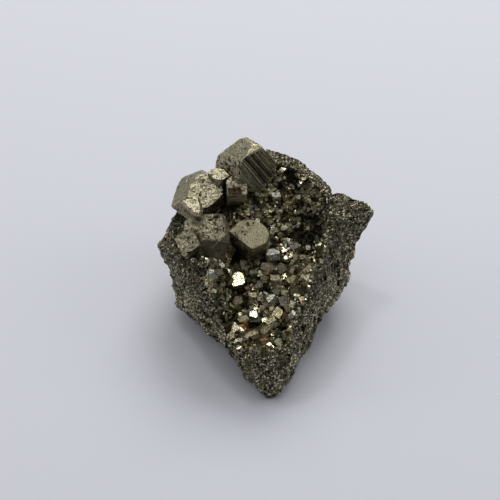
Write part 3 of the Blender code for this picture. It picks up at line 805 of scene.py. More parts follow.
COLUMNS = 600
LOWEST_RIM = math.radians(-10)
HIGHEST_RIM = math.radians(89)
SEARCH_STEPS = 420
RIM_MEDIAN = 6
azimuths = np.linspace(0, 2 * math.pi, COLUMNS, endpoint=False)
search = np.linspace(LOWEST_RIM, HIGHEST_RIM, SEARCH_STEPS)
search_rays = rays(azimuths[None, :], search[:, None])
search_depth = reach_below_rim(HEART + search_rays * skin_reach(search_rays)[..., None])
turn_row = np.maximum((search_depth > 0).argmax(axis=0), 1)
depth_after = np.take_along_axis(search_depth, turn_row[None, :], axis=0)[0]
depth_before = np.take_along_axis(search_depth, turn_row[None, :] - 1, axis=0)[0]
rim_share = np.clip(depth_before / (depth_before - depth_after), 0, 1)
rim_elevation = search[turn_row - 1] + rim_share * (search[1] - search[0])
# the median of each column and its neighbours takes out slots and spikes that are one or two columns wide
neighbours = np.stack([np.roll(rim_elevation, step) for step in range(-RIM_MEDIAN, RIM_MEDIAN + 1)])
rim_elevation = np.median(neighbours, axis=0)
lowest, highest = np.degrees([rim_elevation.min(), rim_elevation.max()]).round()
print("the rim lies", lowest, "to", highest, "degrees up")

# %% [markdown]
# ## The meridians
#
# A globe grid has the same number of points in every column, however high the rim stands there. So the
# rows outside are spaced by their share of the way up to the rim, and the rows inside by their share of
# the way down from it to the pocket's lowest point. One row lies exactly on the rim, all the way round,
# and keeps it sharp.

# %% The meridians
UNDERSIDE_ROWS = 14
OUTSIDE_ROWS = 112
POCKET_ROWS = 34
LOWEST_ROW = math.radians(-88)
WALL_START = math.radians(-22)
CROWDING = 1.3


def outside_elevations():
    """Elevations of the outside's rows: a few coarse steps under the block, then even steps up to each
    rim."""
    under = np.linspace(LOWEST_ROW, WALL_START, UNDERSIDE_ROWS, endpoint=False)[:, None]
    under = np.broadcast_to(under, (UNDERSIDE_ROWS, COLUMNS))
    share = np.linspace(0, 1, OUTSIDE_ROWS)[:, None]
    return np.concatenate([under, WALL_START + share * (rim_elevation - WALL_START)])


def block_grid():
    """The block's points: the outside rows from its heart, then the pocket's rows from the pocket's
    heart. The pocket's rows stand closest near the rim. The wall's reach is scaled to meet the rim's
    own point, and the scaling fades out on the way down."""
    outward = rays(azimuths[None, :], outside_elevations())
    outside = HEART + outward * skin_reach(outward)[..., None]
    rim = outside[-1] - POCKET_HEART
    rim_distance = np.linalg.norm(rim, axis=-1)
    rim_fall = np.arcsin(rim[:, 2] / rim_distance)
    share = (np.arange(1, POCKET_ROWS + 1) / (POCKET_ROWS + 1))[:, None] ** CROWDING
    downward = rays(azimuths[None, :], rim_fall + share * (-math.pi / 2 - rim_fall))
    meet = rim_distance / pocket_reach(rays(azimuths, rim_fall))
    scale = 1 + (meet - 1) * (1 - smooth_step(share, 0.0, 0.35))
    wall = POCKET_HEART + downward * (pocket_reach(downward) * scale)[..., None]
    return np.concatenate([outside, wall])


block_points = block_grid()
print("block grid:", block_points.shape[0], "rows of", block_points.shape[1])

# %% [markdown]
# ## Broken rock, close up
#
# Two sizes of flat-sided chips stand for the breaks, a field of little cube corners for the grains, and
# ribs for the growth lines on the left wall. Every one of them moves the surface along its own normal,
# and the move fades out just above the floor, so that the block keeps the flat facet that it stands on.

# %% Relief of the block
RIB_TILT = 1.8


def ribs(count, seed):
    """Ribs from 0 to 1 across a coordinate that counts them: each whole number is one rib, whose top
    has its own random height and tilt, with a narrow groove beside it."""
    number = np.floor(count)
    corner = np.stack([number, number * 0, number * 0], axis=-1)
    across = count - number - 0.5
    tilt_of_rib = RIB_TILT * (lattice_random(corner, seed, 1) - 0.5)
    crest = 0.25 + 0.75 * lattice_random(corner, seed) + across * tilt_of_rib
    return crest * (1 - smooth_step(np.abs(across), 0.26, 0.5))


def pits(points, cell, depth, seed, share=0.5):
    """Sharp-edged pits: where smooth noise falls under a level, the surface drops by up to this depth."""
    low = share - (lumps(points, cell, seed) + 1) / 2
    return -depth * smooth_step(low, 0.0, 0.10)


LEFT_WALL = np.array((-0.93, -0.38, -0.04))
LEFT_RIB_AXIS = np.array((0.38, -0.93, 0.46)) / np.linalg.norm((0.38, -0.93, 0.46))
LEFT_RIB_ACROSS = np.cross(LEFT_WALL, LEFT_RIB_AXIS)
LEFT_RIB_WIDTH = 0.85
LEFT_RIB_HEIGHT = 0.42
BREAKS = ((chips, 0.26, 1.9, 21), (chips, 0.13, 0.85, 22), (lumps, 0.10, 1.3, 23))
GRAIN_CELL = 0.95
GRAIN_LIMIT = 0.4
GRAIN_MIDDLE = 0.2
GRAIN_ON_WALLS = 0.75
GRAIN_ON_LEFT_WALL = 0.30


def block_relief(points, normals):
    """Height of the fine relief in mm: chips, lumps, pits and cube grains, and on the left wall ribs
    for grains."""
    grain = np.clip(cube_grains(points, GRAIN_CELL, seed=24), 0.0, GRAIN_LIMIT)
    wall = smooth_step(normals @ LEFT_WALL, 0.72, 0.92)
    grain_height = GRAIN_ON_WALLS + (GRAIN_ON_LEFT_WALL - GRAIN_ON_WALLS) * wall
    count = points @ LEFT_RIB_ACROSS / LEFT_RIB_WIDTH + 0.5 * lumps(points, cell=7.0, seed=25)
    ribbed = LEFT_RIB_HEIGHT * wall * (ribs(count, seed=26) - 0.5)
    holes = pits(points, cell=0.8, depth=0.25, seed=27, share=0.30)
    return layered(points, BREAKS) + grain_height * (grain - GRAIN_MIDDLE) + ribbed + holes


RIM_CALM = 0.65
RIM_CALM_ROWS = 4.0
FINE_BREAK_CALM = 0.6
CALM_UNDER = 0.05
ROUGH_ABOVE = 0.9


def build_block():
    """The block as one closed grid, with a pole under it and one in the pocket. Its relief fades out
    near the floor. It is weaker on the clean break and along the rim, where it would break the edge
    into spikes."""
    normals = slopes(block_points)
    rows_from_rim = np.arange(len(block_points)) - (UNDERSIDE_ROWS + OUTSIDE_ROWS - 1)
    calm = (1 - RIM_CALM * np.exp(-((rows_from_rim / RIM_CALM_ROWS) ** 2)))[:, None]
    calm = calm * (1 - FINE_BREAK_CALM * near_clean_break(block_points))
    height = block_relief(block_points, normals) * calm
    off_floor = smooth_step(block_points[..., 2], CALM_UNDER, ROUGH_ABOVE)
    moved = block_points + normals * (height * off_floor)[..., None]
    moved[..., 2] = np.maximum(moved[..., 2], 0.0)
    low_pole = np.array([[HEART[0], HEART[1], 0.0]])
    down = np.array([[0.0, 0.0, -1.0]])
    high_pole = POCKET_HEART + down * pocket_reach(down)[:, None]
    points = np.concatenate([low_pole, moved.reshape(-1, 3), high_pole])
    piece = make_piece("matrix_block", points, globe_faces(*moved.shape[:2]), massive_pyrite)
    # how deep the relief lies, for the painted shade in the block's pits
    mark_pit_shade(piece, np.concatenate([[0.0], height.ravel(), [0.0]]), shallow=0.15, deep=0.50)
    return piece


block = build_block()
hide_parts("matrix")
print("block:", triangle_count(block), "triangles")

# %% [markdown]
# ## The ground of the pocket
#
# Under the small crystals lies a crust that they all grew from. It follows the pocket's wall at a
# distance, thins out towards the rim, and has a back as well as a front, so that it is a closed body. Its
# front is where the crystals are going to stand.

# %% Front and back of the crust
CRUST_COLUMNS = 280
CRUST_FRONT_ROWS = 64
CRUST_BACK_ROWS = 12
CRUST_THICKNESS = 1.9
CRUST_GAP = 0.35
THINNING_STARTS = 0.78
FRONT_EDGE = -0.05
BACK_EDGE = -0.30
RIM_ROOM = 0.7

crust_azimuths = np.linspace(0, 2 * math.pi, CRUST_COLUMNS, endpoint=False)
crust_rim = np.interp(crust_azimuths, azimuths, rim_elevation, period=2 * math.pi)


def rim_of_crust():
    """Elevation of the crust's edge from the pocket's heart: the rim's own, seen from there, moved
    down a little."""
    outward = rays(crust_azimuths, crust_rim)
    edge = HEART + outward * skin_reach(outward)[:, None] - POCKET_HEART
    distance = np.linalg.norm(edge, axis=-1)
    return np.arcsin(edge[:, 2] / distance) - RIM_ROOM / distance


def crust_layer(rows, thickness, end):
    """One layer of the crust, from the pocket's lowest point up to the edge: the pocket's reach less a
    thickness that changes near the edge to what end leaves of it. Below zero, that is inside the rock."""
    share = np.linspace(0, 1, rows + 1)[1:, None]
    elevation = -math.pi / 2 + share * (rim_of_crust() + math.pi / 2)
    outward = rays(crust_azimuths[None, :], elevation)
    thinning = smooth_step(share, THINNING_STARTS, 1.0)
    thin = thickness * (1 - thinning) + end * thinning
    return POCKET_HEART + outward * (pocket_reach(outward) - thin)[..., None]


def ground_body(front):
    """Points and faces of the crust as a closed body: the back, the front and a pole in the middle of
    each."""
    grid = np.concatenate([crust_back, front[::-1]])
    down = np.array([[0.0, 0.0, -1.0]])
    reach = pocket_reach(down)[:, None]
    back_pole = POCKET_HEART + down * (reach - CRUST_GAP)
    front_pole = POCKET_HEART + down * (reach - CRUST_GAP - CRUST_THICKNESS)
    return np.concatenate([back_pole, grid.reshape(-1, 3), front_pole]), globe_faces(*grid.shape[:2])


def seen_at(tree, column, row):
    """The point of the ground that the camera sees at this spot of its 500 by 500 frame. If it looks
    past the ground there, the point of the ground that is nearest to what it sees at the specimen's
    own distance."""
    slope = MM_PER_PIXEL / CAMERA_DISTANCE
    middle_pixel = FRAME_PIXELS / 2
    right = np.array((1.0, 0.0, 0.0))
    up = np.array((0.0, math.sin(tilt), math.cos(tilt)))
    ray = look + right * (column - middle_pixel) * slope - up * (row - middle_pixel) * slope
    hit = tree.ray_cast(Vector(eye), Vector(ray).normalized())[0]
    if hit is None:
        hit = tree.find_nearest(Vector(eye + ray * CAMERA_DISTANCE))[0]
    return np.array(hit)


crust_front = crust_layer(CRUST_FRONT_ROWS, CRUST_GAP + CRUST_THICKNESS, FRONT_EDGE)
crust_back = crust_layer(CRUST_BACK_ROWS, CRUST_GAP, BACK_EDGE)
print("crust:", crust_front.shape[0], "rows in front")

# %% [markdown]
# ## Hollows between the crystals
#
# Between the crystals there are gaps that light hardly reaches, and the eye reads them as black. The
# lamps alone would not make them: a shallow dip in bright metal is lit by the metal all round it. So the
# largest gaps are pressed into the crust, each by the spot of the camera's frame where it is seen, and
# whatever stands in them gets painted shade: a dark, dull colour.

# %% Hollows between the crystals
# column, row and radius in mm of the dark hollows, by the spot of the camera's frame where each is seen
HOLLOWS = (
    (240, 250, 2.3),
    (228, 256, 2.2),
    (300, 236, 2.6),
    (312, 232, 2.9),
    (316, 221, 2.6),
    (307, 219, 2.0),
    (321, 236, 2.0),
    (322, 226, 1.8),
    (294, 178, 1.4),
    (264, 259, 1.2),
    (254, 280, 1.3),
    (267, 291, 1.3),
    (237, 293, 1.2),
    (217, 303, 2.5),
    (224, 322, 2.3),
    (228, 332, 1.4),
    (288, 342, 1.0),
    (283, 309, 1.2),
    (281, 334, 1.4),
    (249, 302, 0.8),
    (287, 333, 1.2),
    (292, 169, 1.8),
    (281, 186, 1.3),
    (300, 203, 1.6),
    (215, 283, 1.0),
)
HOLLOW_DEPTH = 1.3
LEAST_CRUST = 0.3
CHANCE_GLOOM = 0.8
CRUST_GRAIN_LIMIT = 0.5


def gloom(points):
    """0 in the open and 1 in a hollow, for pressing the crust in and for painted shade: a flat-bottomed
    bell round each listed one, and a few more by chance."""
    deep = CHANCE_GLOOM * smooth_step(-lumps(points, cell=2.4, seed=33), 0.25, 0.65)
    for centre, radius in hollow_places:
        deep = np.maximum(deep, np.exp(-((((points - centre) / radius) ** 2).sum(axis=-1) ** 2)))
    return deep


smooth_points, ground_faces = ground_body(crust_front)
smooth_tree = BVHTree.FromPolygons(smooth_points.tolist(), ground_faces)
hollow_places = [(seen_at(smooth_tree, column, row), radius) for column, row, radius in HOLLOWS]
front_normals = -slopes(crust_front)
crust_grain = np.clip(cube_grains(crust_front, cell=1.1, seed=31), 0, CRUST_GRAIN_LIMIT)
crust_relief = 0.5 * crust_grain + 0.25 * chips(crust_front, cell=1.4, seed=32)
front_share = np.linspace(0, 1, CRUST_FRONT_ROWS + 1)[1:, None]
room_below = CRUST_THICKNESS * (1 - smooth_step(front_share, THINNING_STARTS, 1.0)) - LEAST_CRUST
pressed = np.minimum(HOLLOW_DEPTH * gloom(crust_front), np.maximum(room_below, 0))
crust_front = crust_front + front_normals * (crust_relief - pressed)[..., None]
ground_points = ground_body(crust_front)[0]
ground_tree = BVHTree.FromPolygons(ground_points.tolist(), ground_faces)
print("hollows:", len(HOLLOWS), "ground faces:", len(ground_faces))

# %% [markdown]
# ## Shapes of a small crystal
#
# Pyrite grows as cubes, as the twelve-sided pyritohedron, as the octahedron and as mixtures of these.
# Each shape is the convex hull of a short list of corners, a few dozen triangles, and is turned so that
# one broad face looks up.

# %% Prototypes of the small crystals
def box_corners(half_sizes, cuts=()):
    """Corners of a box with what lies beyond each plane cut off: the points where three planes meet
    inside all."""
    planes = [(np.eye(3)[a] * s, half_sizes[a]) for a in range(3) for s in (1, -1)]
    planes += [(np.array(n) / np.linalg.norm(n), d) for n, d in cuts]
    normals = np.array([n for n, _ in planes])
    distances = np.array([d for _, d in planes])
    found = []
    for i in range(len(planes)):
        for j in range(i):
            for k in range(j):
                three = normals[[i, j, k]]
                if abs(np.linalg.det(three)) > 1e-6:
                    corner = np.linalg.solve(three, distances[[i, j, k]])
                    if (normals @ corner <= distances + 1e-6).all():
                        found.append(corner)
    return np.unique(np.round(found, 5), axis=0)


def hull(corners):
    """Points and triangles of the convex hull, scaled so that its nearest face is 1 from the middle,
    and turned so that this face looks up."""
    body = bmesh.new()
    for corner in corners:
        body.verts.new(corner)
    found = bmesh.ops.convex_hull(body, input=body.verts)
    spare = [g for g in found["geom_interior"] + found["geom_unused"] if isinstance(g, bmesh.types.BMVert)]
    bmesh.ops.delete(body, geom=list(set(spare)), context="VERTS")
    bmesh.ops.triangulate(body, faces=body.faces[:])
    bmesh.ops.recalc_face_normals(body, faces=body.faces[:])
    body.verts.index_update()
    points = np.array([v.co for v in body.verts])
    triangles = np.array([[v.index for v in f.verts] for f in body.faces])
    heights = [f.normal.dot(f.verts[0].co) for f in body.faces]
    nearest = body.faces[int(np.argmin(heights))].normal
    turn = np.array(nearest.rotation_difference(Vector((0, 0, 1))).to_matrix())
    body.free()
    return points @ turn.T / min(heights), triangles


def all_signs(corner):
    """The corner and its mirror images in every direction."""
    signs = np.array([(x, y, z) for x in (1, -1) for y in (1, -1) for z in (1, -1)])
    return np.unique(signs * np.array(corner), axis=0)


def turned_round(corner):
    """The mirror images of the corner and of the two that follow when its coordinates move round."""
    return np.concatenate([all_signs(np.roll(corner, step)) for step in range(3)])


# how far from the middle a slice is taken, as a share of the way to the box's corner
DEEPEST_SLICE = 0.64
SLICE_RANGE = 0.18


def chunk(seed, slices, stretch_by=0.4):
    """Corners of a crystal with no two sides alike: a box of random proportions with this many random
    slices off."""
    random = np.random.default_rng(seed)
    half_sizes = 1 + stretch_by * random.random(3)
    slants = random.normal(size=(slices, 3))
    slants /= np.linalg.norm(slants, axis=1, keepdims=True)
    reach = np.abs(slants) @ half_sizes
    depths = DEEPEST_SLICE + SLICE_RANGE * random.random(slices)
    return box_corners(half_sizes, tuple(zip(slants, reach * depths)))


# each cut is the direction of a plane and its distance from the middle
TABLE_CUTS = (
    ((1, 1, 0), 1.25),
    ((1, -1, 0), 1.3),
    ((-1, 1, 0.3), 1.25),
    ((-1, -1, 0.4), 1.2),
    ((1, 0, 1), 1.25),
)
SHAPES = {
    "cube": hull(chunk(1, 2, 0.2)),
    "pyritohedron": hull(np.concatenate([all_signs((1, 1, 1)), turned_round((0, 0.75, 1.5))])),
    "octahedron": hull(np.concatenate([turned_round((0, 1, 1.9)), turned_round((1, 0, 1.9))])),
    "block": hull(chunk(4, 3, 0.7)),
    "chunk": hull(chunk(5, 6)),
    "round": hull(chunk(6, 9, 0.2)),
    "splinter": hull(chunk(7, 4, 1.2)),
    "table": hull(box_corners((1.25, 1.05, 0.7), TABLE_CUTS)),
}
print({name: len(triangles) for name, (points, triangles) in SHAPES.items()})

# %% [markdown]
# ## Where they stand
#
# The crystals that catch the eye are set one by one, each by the spot of the camera's frame where it is
# seen, as (column, row) of 500 by 500, and dropped from there onto the ground. All the rest are scattered
# by chance: a few hundred of middle size that keep their distance from each other, and some thousands of
# small ones between them, which are finer towards the back right of the pocket.

# %% Set crystals
SILVER = (0.64, 0.62, 0.53)
PALE = (0.74, 0.70, 0.50)
BRASS = (0.54, 0.485, 0.30)
TAN = (0.40, 0.355, 0.235)
UMBER = (0.22, 0.185, 0.115)
RUST = (0.38, 0.23, 0.12)
GREEN = (0.33, 0.335, 0.225)

# column, row, half size, shape, tint, direction of its broad face, spin in degrees, roughness
SET_CRYSTALS = (
    (272, 255, 1.55, "round", SILVER, (0.05, -0.30, 0.95), 10, 0.30),
    (284, 250, 0.45, "table", PALE, (-0.08, -0.14, 0.99), 20, 0.16),
    (294, 246, 0.90, "chunk", SILVER, (0.15, -0.55, 0.8), 35, 0.26),
    (308, 247, 0.85, "block", SILVER, (-0.30, -0.30, 0.9), -25, 0.24),
    (298, 249, 0.96, "round", BRASS, (-0.10, -0.40, 0.9), 60, 0.26),
    (290, 256, 0.60, "splinter", BRASS, (-0.12, -0.20, 0.98), 80, 0.20),
    (267, 268, 1.56, "round", TAN, (-0.10, -0.50, 0.85), -8, 0.36),
    (280, 269, 1.26, "chunk", TAN, (0.10, -0.60, 0.8), 30, 0.34),
    (292, 271, 0.96, "round", TAN, (0.10, -0.45, 0.88), 70, 0.34),
    (285, 277, 0.55, "table", PALE, (-0.12, -0.13, 0.99), 0, 0.14),
    (291, 281, 1.14, "chunk", BRASS, (0.20, -0.30, 0.9), 40, 0.28),
    (238, 281, 1.00, "table", PALE, (-0.13, -0.13, 0.98), 12, 0.15),
    (209, 276, 1.55, "round", SILVER, (-0.25, -0.20, 0.95), 20, 0.26),
    (234, 268, 1.50, "chunk", GREEN, (-0.30, -0.60, 0.7), 25, 0.36),
    (244, 267, 1.26, "splinter", TAN, (0.25, -0.55, 0.8), -15, 0.36),
    (253, 273, 1.02, "round", GREEN, (0.10, -0.50, 0.85), 5, 0.34),
    (252, 257, 0.90, "chunk", SILVER, (0.00, -0.30, 0.95), 5, 0.30),
    (226, 273, 0.90, "splinter", BRASS, (-0.10, -0.20, 0.97), 60, 0.26),
    (225, 284, 1.20, "block", UMBER, (-0.45, -0.35, 0.8), 50, 0.34),
    (218, 290, 1.08, "chunk", TAN, (-0.20, -0.60, 0.8), 15, 0.32),
    (239, 302, 1.62, "pyritohedron", TAN, (-0.15, -0.50, 0.85), 30, 0.34),
    (234, 306, 1.08, "chunk", BRASS, (0.10, -0.30, 0.95), 10, 0.30),
    (252, 296, 0.84, "chunk", BRASS, (0.10, -0.25, 0.96), 10, 0.24),
    (271, 300, 1.20, "round", SILVER, (-0.05, -0.25, 0.95), 48, 0.22),
    (284, 302, 1.14, "splinter", SILVER, (0.20, -0.50, 0.85), 12, 0.28),
    (254, 315, 0.52, "table", PALE, (-0.12, -0.13, 0.98), 65, 0.15),
    (256, 309, 0.40, "splinter", BRASS, (-0.10, -0.16, 0.98), 70, 0.20),
    (265, 321, 0.42, "table", PALE, (-0.12, -0.13, 0.98), 30, 0.16),
    (278, 314, 1.02, "splinter", BRASS, (-0.10, -0.25, 0.95), 140, 0.22),
    (271, 323, 0.96, "block", BRASS, (0.05, -0.30, 0.95), 100, 0.26),
    (235, 330, 0.95, "splinter", PALE, (-0.20, -0.20, 0.95), -60, 0.20),
    (253, 335, 1.15, "round", BRASS, (-0.05, -0.35, 0.93), 22, 0.34),
    (265, 331, 1.32, "round", BRASS, (0.15, -0.45, 0.9), 40, 0.30),
    (245, 340, 1.14, "round", TAN, (-0.35, -0.50, 0.8), 10, 0.36),
    (265, 342, 0.85, "chunk", RUST, (0.05, -0.60, 0.8), 20, 0.36),
    (288, 318, 1.14, "splinter", RUST, (0.30, -0.40, 0.85), 70, 0.34),
    (248, 288, 0.72, "chunk", RUST, (0.15, -0.50, 0.85), 30, 0.34),
    (278, 344, 1.32, "pyritohedron", GREEN, (0.10, -0.25, 0.95), 25, 0.26),
    (274, 346, 0.28, "table", PALE, (-0.12, -0.15, 0.98), 25, 0.16),
    (276, 290, 1.02, "chunk", TAN, (0.20, -0.50, 0.85), 60, 0.30),
    (285, 293, 0.90, "round", BRASS, (-0.20, -0.40, 0.9), 15, 0.26),
    (308, 270, 1.02, "chunk", TAN, (-0.10, -0.40, 0.9), 50, 0.28),
    (303, 258, 1.08, "round", BRASS, (0.10, -0.45, 0.9), 15, 0.28),
    (244, 320, 1.02, "chunk", TAN, (-0.20, -0.30, 0.93), 33, 0.28),
    (259, 349, 0.96, "chunk", UMBER, (0.10, -0.50, 0.85), 33, 0.34),
    (276, 196, 0.90, "chunk", SILVER, (0.00, -0.35, 0.93), 12, 0.30),
    (283, 170, 0.50, "block", PALE, (-0.05, -0.14, 0.98), 30, 0.18),
)
print("set crystals:", len(SET_CRYSTALS))

# %% [markdown]
# ## Many crystals in one mesh
#
# Each small crystal is a copy of one of eight shapes, scaled, turned and moved. Blender's instances or
# particles would do that too, but the bed has to be one real mesh. So a whole stack of rotation matrices
# is multiplied with the corners of a shape, which gives the corners of all its copies in one step.

# %% Turning and joining many crystals
def turns_of(quaternions):
    """Rotation matrices of unit quaternions (w, x, y, z), by the usual products of their parts."""
    w, x, y, z = quaternions.T
    rows = [
        [1 - 2 * (y * y + z * z), 2 * (x * y - w * z), 2 * (x * z + w * y)],
        [2 * (x * y + w * z), 1 - 2 * (x * x + z * z), 2 * (y * z - w * x)],
        [2 * (x * z - w * y), 2 * (y * z + w * x), 1 - 2 * (x * x + y * y)],
    ]
    return np.moveaxis(np.array(rows), 2, 0)


def facing(normal, spin=0.0):
    """The rotation whose Z axis is this normal and whose X axis is level, turned by spin degrees about
    the normal."""
    z = np.array(normal) / np.linalg.norm(normal)
    x = np.array((1.0, 0.0, 0.0)) - z * z[0]
    x /= np.linalg.norm(x)
    y = np.cross(z, x)
    angle = math.radians(spin)
    turned_x = x * math.cos(angle) + y * math.sin(angle)
    return np.stack([turned_x, np.cross(z, turned_x), z], axis=1)


def stand_crystals(shape, centres, sizes, turns):
    """Copies of one shape: each corner is scaled, turned and moved to its crystal's centre, all in one
    product."""
    points, triangles = SHAPES[shape]
    moved = np.einsum("nij,mj->nmi", turns, points) * sizes[:, None, None] + centres[:, None, :]
    offsets = np.arange(len(centres))[:, None, None] * len(points)
    return moved.reshape(-1, 3), (triangles[None] + offsets).reshape(-1, 3)


def join(parts):
    """One list of points, of faces and of tints out of many (points, faces, tint of each point). Each
    part's faces count on from the points of the parts before it."""
    points, faces, tints, count = [], [], [], 0
    for part_points, part_faces, part_tints in parts:
        points.append(part_points)
        if isinstance(part_faces, np.ndarray):
            faces += (part_faces + count).tolist()
        else:
            faces += [[corner + count for corner in face] for face in part_faces]
        tints.append(part_tints)
        count += len(part_points)
    return np.concatenate(points), faces, np.concatenate(tints)


print("joining helpers ready")

# %% [markdown]
# ## The crystals that chance places
#
# The lining has no pattern, but it isn't plain chance either: the crystals of middle size hardly overlap,
# and the small ones fill what is left between them. So the middle ones are taken one by one, and one that
# would stand too near to those before it is dropped. The small ones may stand anywhere outside the set
# crystals, and the smallest follow the rim, so that the pocket's edge is no clean line.

# %% Scattered crystals
MIDDLE_TRIES = 2600
MIDDLE_SIZES = (0.55, 1.15)
SMALL_COUNT = 3000
SMALL_SIZES = (0.20, 0.46)
RIM_COUNT = 420
RIM_SIZES = (0.16, 0.34)
RISE = 0.2
SPACING = 0.95
FINE_STARTS = 7.0
FINE_FULL = 12.0
SMALLER_WHERE_FINE = 0.42

pick = np.random.default_rng(7)
cell_low, cell_high = crust_front[:-1], crust_front[1:]
cell_across = np.roll(cell_low, -1, axis=1) - cell_low
cell_areas = np.linalg.norm(np.cross(cell_across, cell_high - cell_low), axis=-1)


def scattered_on_ground(count):
    """Points spread evenly by area over the crust's front, with the normals there. A cell of the grid
    is drawn by its share of the area, and a place in it by two random shares."""
    cells = pick.choice(cell_areas.size, count, p=(cell_areas / cell_areas.sum()).ravel())
    row, column = np.unravel_index(cells, cell_areas.shape)
    beside = (column + 1) % CRUST_COLUMNS
    across, along = pick.random((2, count, 1))
    low = crust_front[row, column] * (1 - across) + crust_front[row, beside] * across
    high = crust_front[row + 1, column] * (1 - across) + crust_front[row + 1, beside] * across
    return low * (1 - along) + high * along, front_normals[row, column]


def scattered_on_rim(count):
    """Points of the block's own grid from just outside the rim to a little way down the pocket's wall."""
    rows = UNDERSIDE_ROWS + OUTSIDE_ROWS + pick.integers(-3, 5, count)
    places = block_points[rows, pick.integers(0, COLUMNS, count)]
    return places, np.tile((0.0, 0.0, 1.0), (count, 1))


def fineness(points):
    """0 in the middle and the front of the pocket, 1 at its back right, where the small crystals are
    finest."""
    return smooth_step(points[..., 0] * 0.35 + points[..., 1], FINE_STARTS, FINE_FULL)


def kept_apart(points, sizes, taken):
    """Which of these crystals keep their distance from those taken before them: a greedy choice, one
    by one."""
    chosen = []
    places = [p for p, _ in taken]
    radii = [r for _, r in taken]
    for number, (point, size) in enumerate(zip(points, sizes)):
        away = np.linalg.norm(np.array(places) - point, axis=1)
        if (away > SPACING * (np.array(radii) + size)).all():
            chosen.append(number)
            places.append(point)
            radii.append(size)
    return np.array(chosen)


def sizes_between(limits, count, power):
    """Random sizes between two limits, the more of them near the lower one the higher the power is."""
    return limits[0] + (limits[1] - limits[0]) * pick.random(count) ** power


def clear_of_set(points):
    """Which of these points lie outside every set crystal."""
    centres = np.array([place for place, _ in set_places])
    sizes = np.array([size for _, size in set_places])
    return (np.linalg.norm(points[:, None] - centres, axis=-1) > sizes).all(axis=1)


set_places = [(seen_at(ground_tree, column, row), size) for column, row, size, *_ in SET_CRYSTALS]
middle_points, middle_normals = scattered_on_ground(MIDDLE_TRIES)
middle_sizes = sizes_between(MIDDLE_SIZES, MIDDLE_TRIES, power=1.5)
middle_sizes = middle_sizes * (1 - SMALLER_WHERE_FINE * fineness(middle_points))
kept = kept_apart(middle_points, middle_sizes, set_places)
middle_points, middle_normals, middle_sizes = middle_points[kept], middle_normals[kept], middle_sizes[kept]
small_points, small_normals = scattered_on_ground(SMALL_COUNT)
small_sizes = sizes_between(SMALL_SIZES, SMALL_COUNT, power=2.0)
clear = clear_of_set(small_points)
small_points, small_normals, small_sizes = small_points[clear], small_normals[clear], small_sizes[clear]
rim_points, rim_normals = scattered_on_rim(RIM_COUNT)
rim_sizes = sizes_between(RIM_SIZES, RIM_COUNT, power=1.0)
print("crystals of middle size:", len(kept), "small:", len(small_points), "on the rim:", RIM_COUNT)

# %% [markdown]
# ## The pocket's bed
#
# The ground and all that stands on it become one piece, because on the specimen they are one crust. A
# tarnish is drawn for each crystal and is the same at all its corners. Those in the hollows are darkened
# with painted shade, the more the nearer they stand to a hollow's middle, and the ground between them is
# nearly black, which is painted shade too.

# %% The pocket's bed
TINTS = np.array((BRASS, TAN, GREEN, UMBER, SILVER, PALE, RUST))
TINT_SHARES = (0.24, 0.27, 0.12, 0.18, 0.10, 0.08, 0.01)
SHAPE_SHARES = (0.12, 0.12, 0.10, 0.10, 0.24, 0.16, 0.12, 0.04)
# painted shade: the ground between the crystals is nearly black, so that the gaps read as shadow; the
# fourth value is its roughness
SHADED_GROUND_TINT = (0.05, 0.04, 0.025, 0.45)
DULLEST = 0.56
TARNISH_RANGE = 1.02
BRIGHTER_WHERE_FINE = 0.4
# share of painted shade on the crystals in the hollows
SHADE_PAINTED_IN_HOLLOWS = 0.98
SMOOTHEST = 0.14
ROUGHNESS_RANGE = 0.26
ROUGHER_IN_HOLLOWS = 0.35


def tints_for(centres, points_each):
    """A random tarnish for each crystal, repeated for its corners, with painted shade in the hollows.
    The fourth value is its roughness."""
    count = len(centres)
    colour = TINTS[pick.choice(len(TINTS), count, p=TINT_SHARES)]
    colour = colour * (DULLEST + TARNISH_RANGE * pick.random((count, 1)))
    dark = gloom(centres)[:, None]
    colour = colour * (1 + BRIGHTER_WHERE_FINE * fineness(centres)[:, None])
    # painted shade: crystals in the hollows are darkened
    colour = colour * (1 - SHADE_PAINTED_IN_HOLLOWS * dark)
    rough = SMOOTHEST + ROUGHNESS_RANGE * pick.random((count, 1)) + ROUGHER_IN_HOLLOWS * dark
    return np.repeat(np.concatenate([colour, rough], axis=1), points_each, axis=0)


def scattered_parts(points, normals, sizes):
    """The scattered crystals, by shape: each is turned at random and stands a little out of the ground."""
    kinds = pick.choice(len(SHAPES), len(points), p=SHAPE_SHARES)
    spins = pick.normal(size=(len(points), 4))
    turns = turns_of(spins / np.linalg.norm(spins, axis=1, keepdims=True))
    centres = points + normals * (sizes * RISE)[:, None]
    parts = []
    for kind, shape in enumerate(SHAPES):
        mine = kinds == kind
        corners, triangles = stand_crystals(shape, centres[mine], sizes[mine], turns[mine])
        parts.append((corners, triangles, tints_for(centres[mine], len(SHAPES[shape][0]))))
    return parts


def set_parts():
    """The set crystals, each as one part with its own tint and roughness."""
    parts = []
    for (place, _), (_, _, size, shape, tint, normal, spin, rough) in zip(set_places, SET_CRYSTALS):
        turn = facing(normal, spin)
        corners, triangles = stand_crystals(shape, place[None], np.array([size]), turn[None])
        parts.append((corners, triangles, np.tile((*tint, rough), (len(corners), 1))))
    return parts


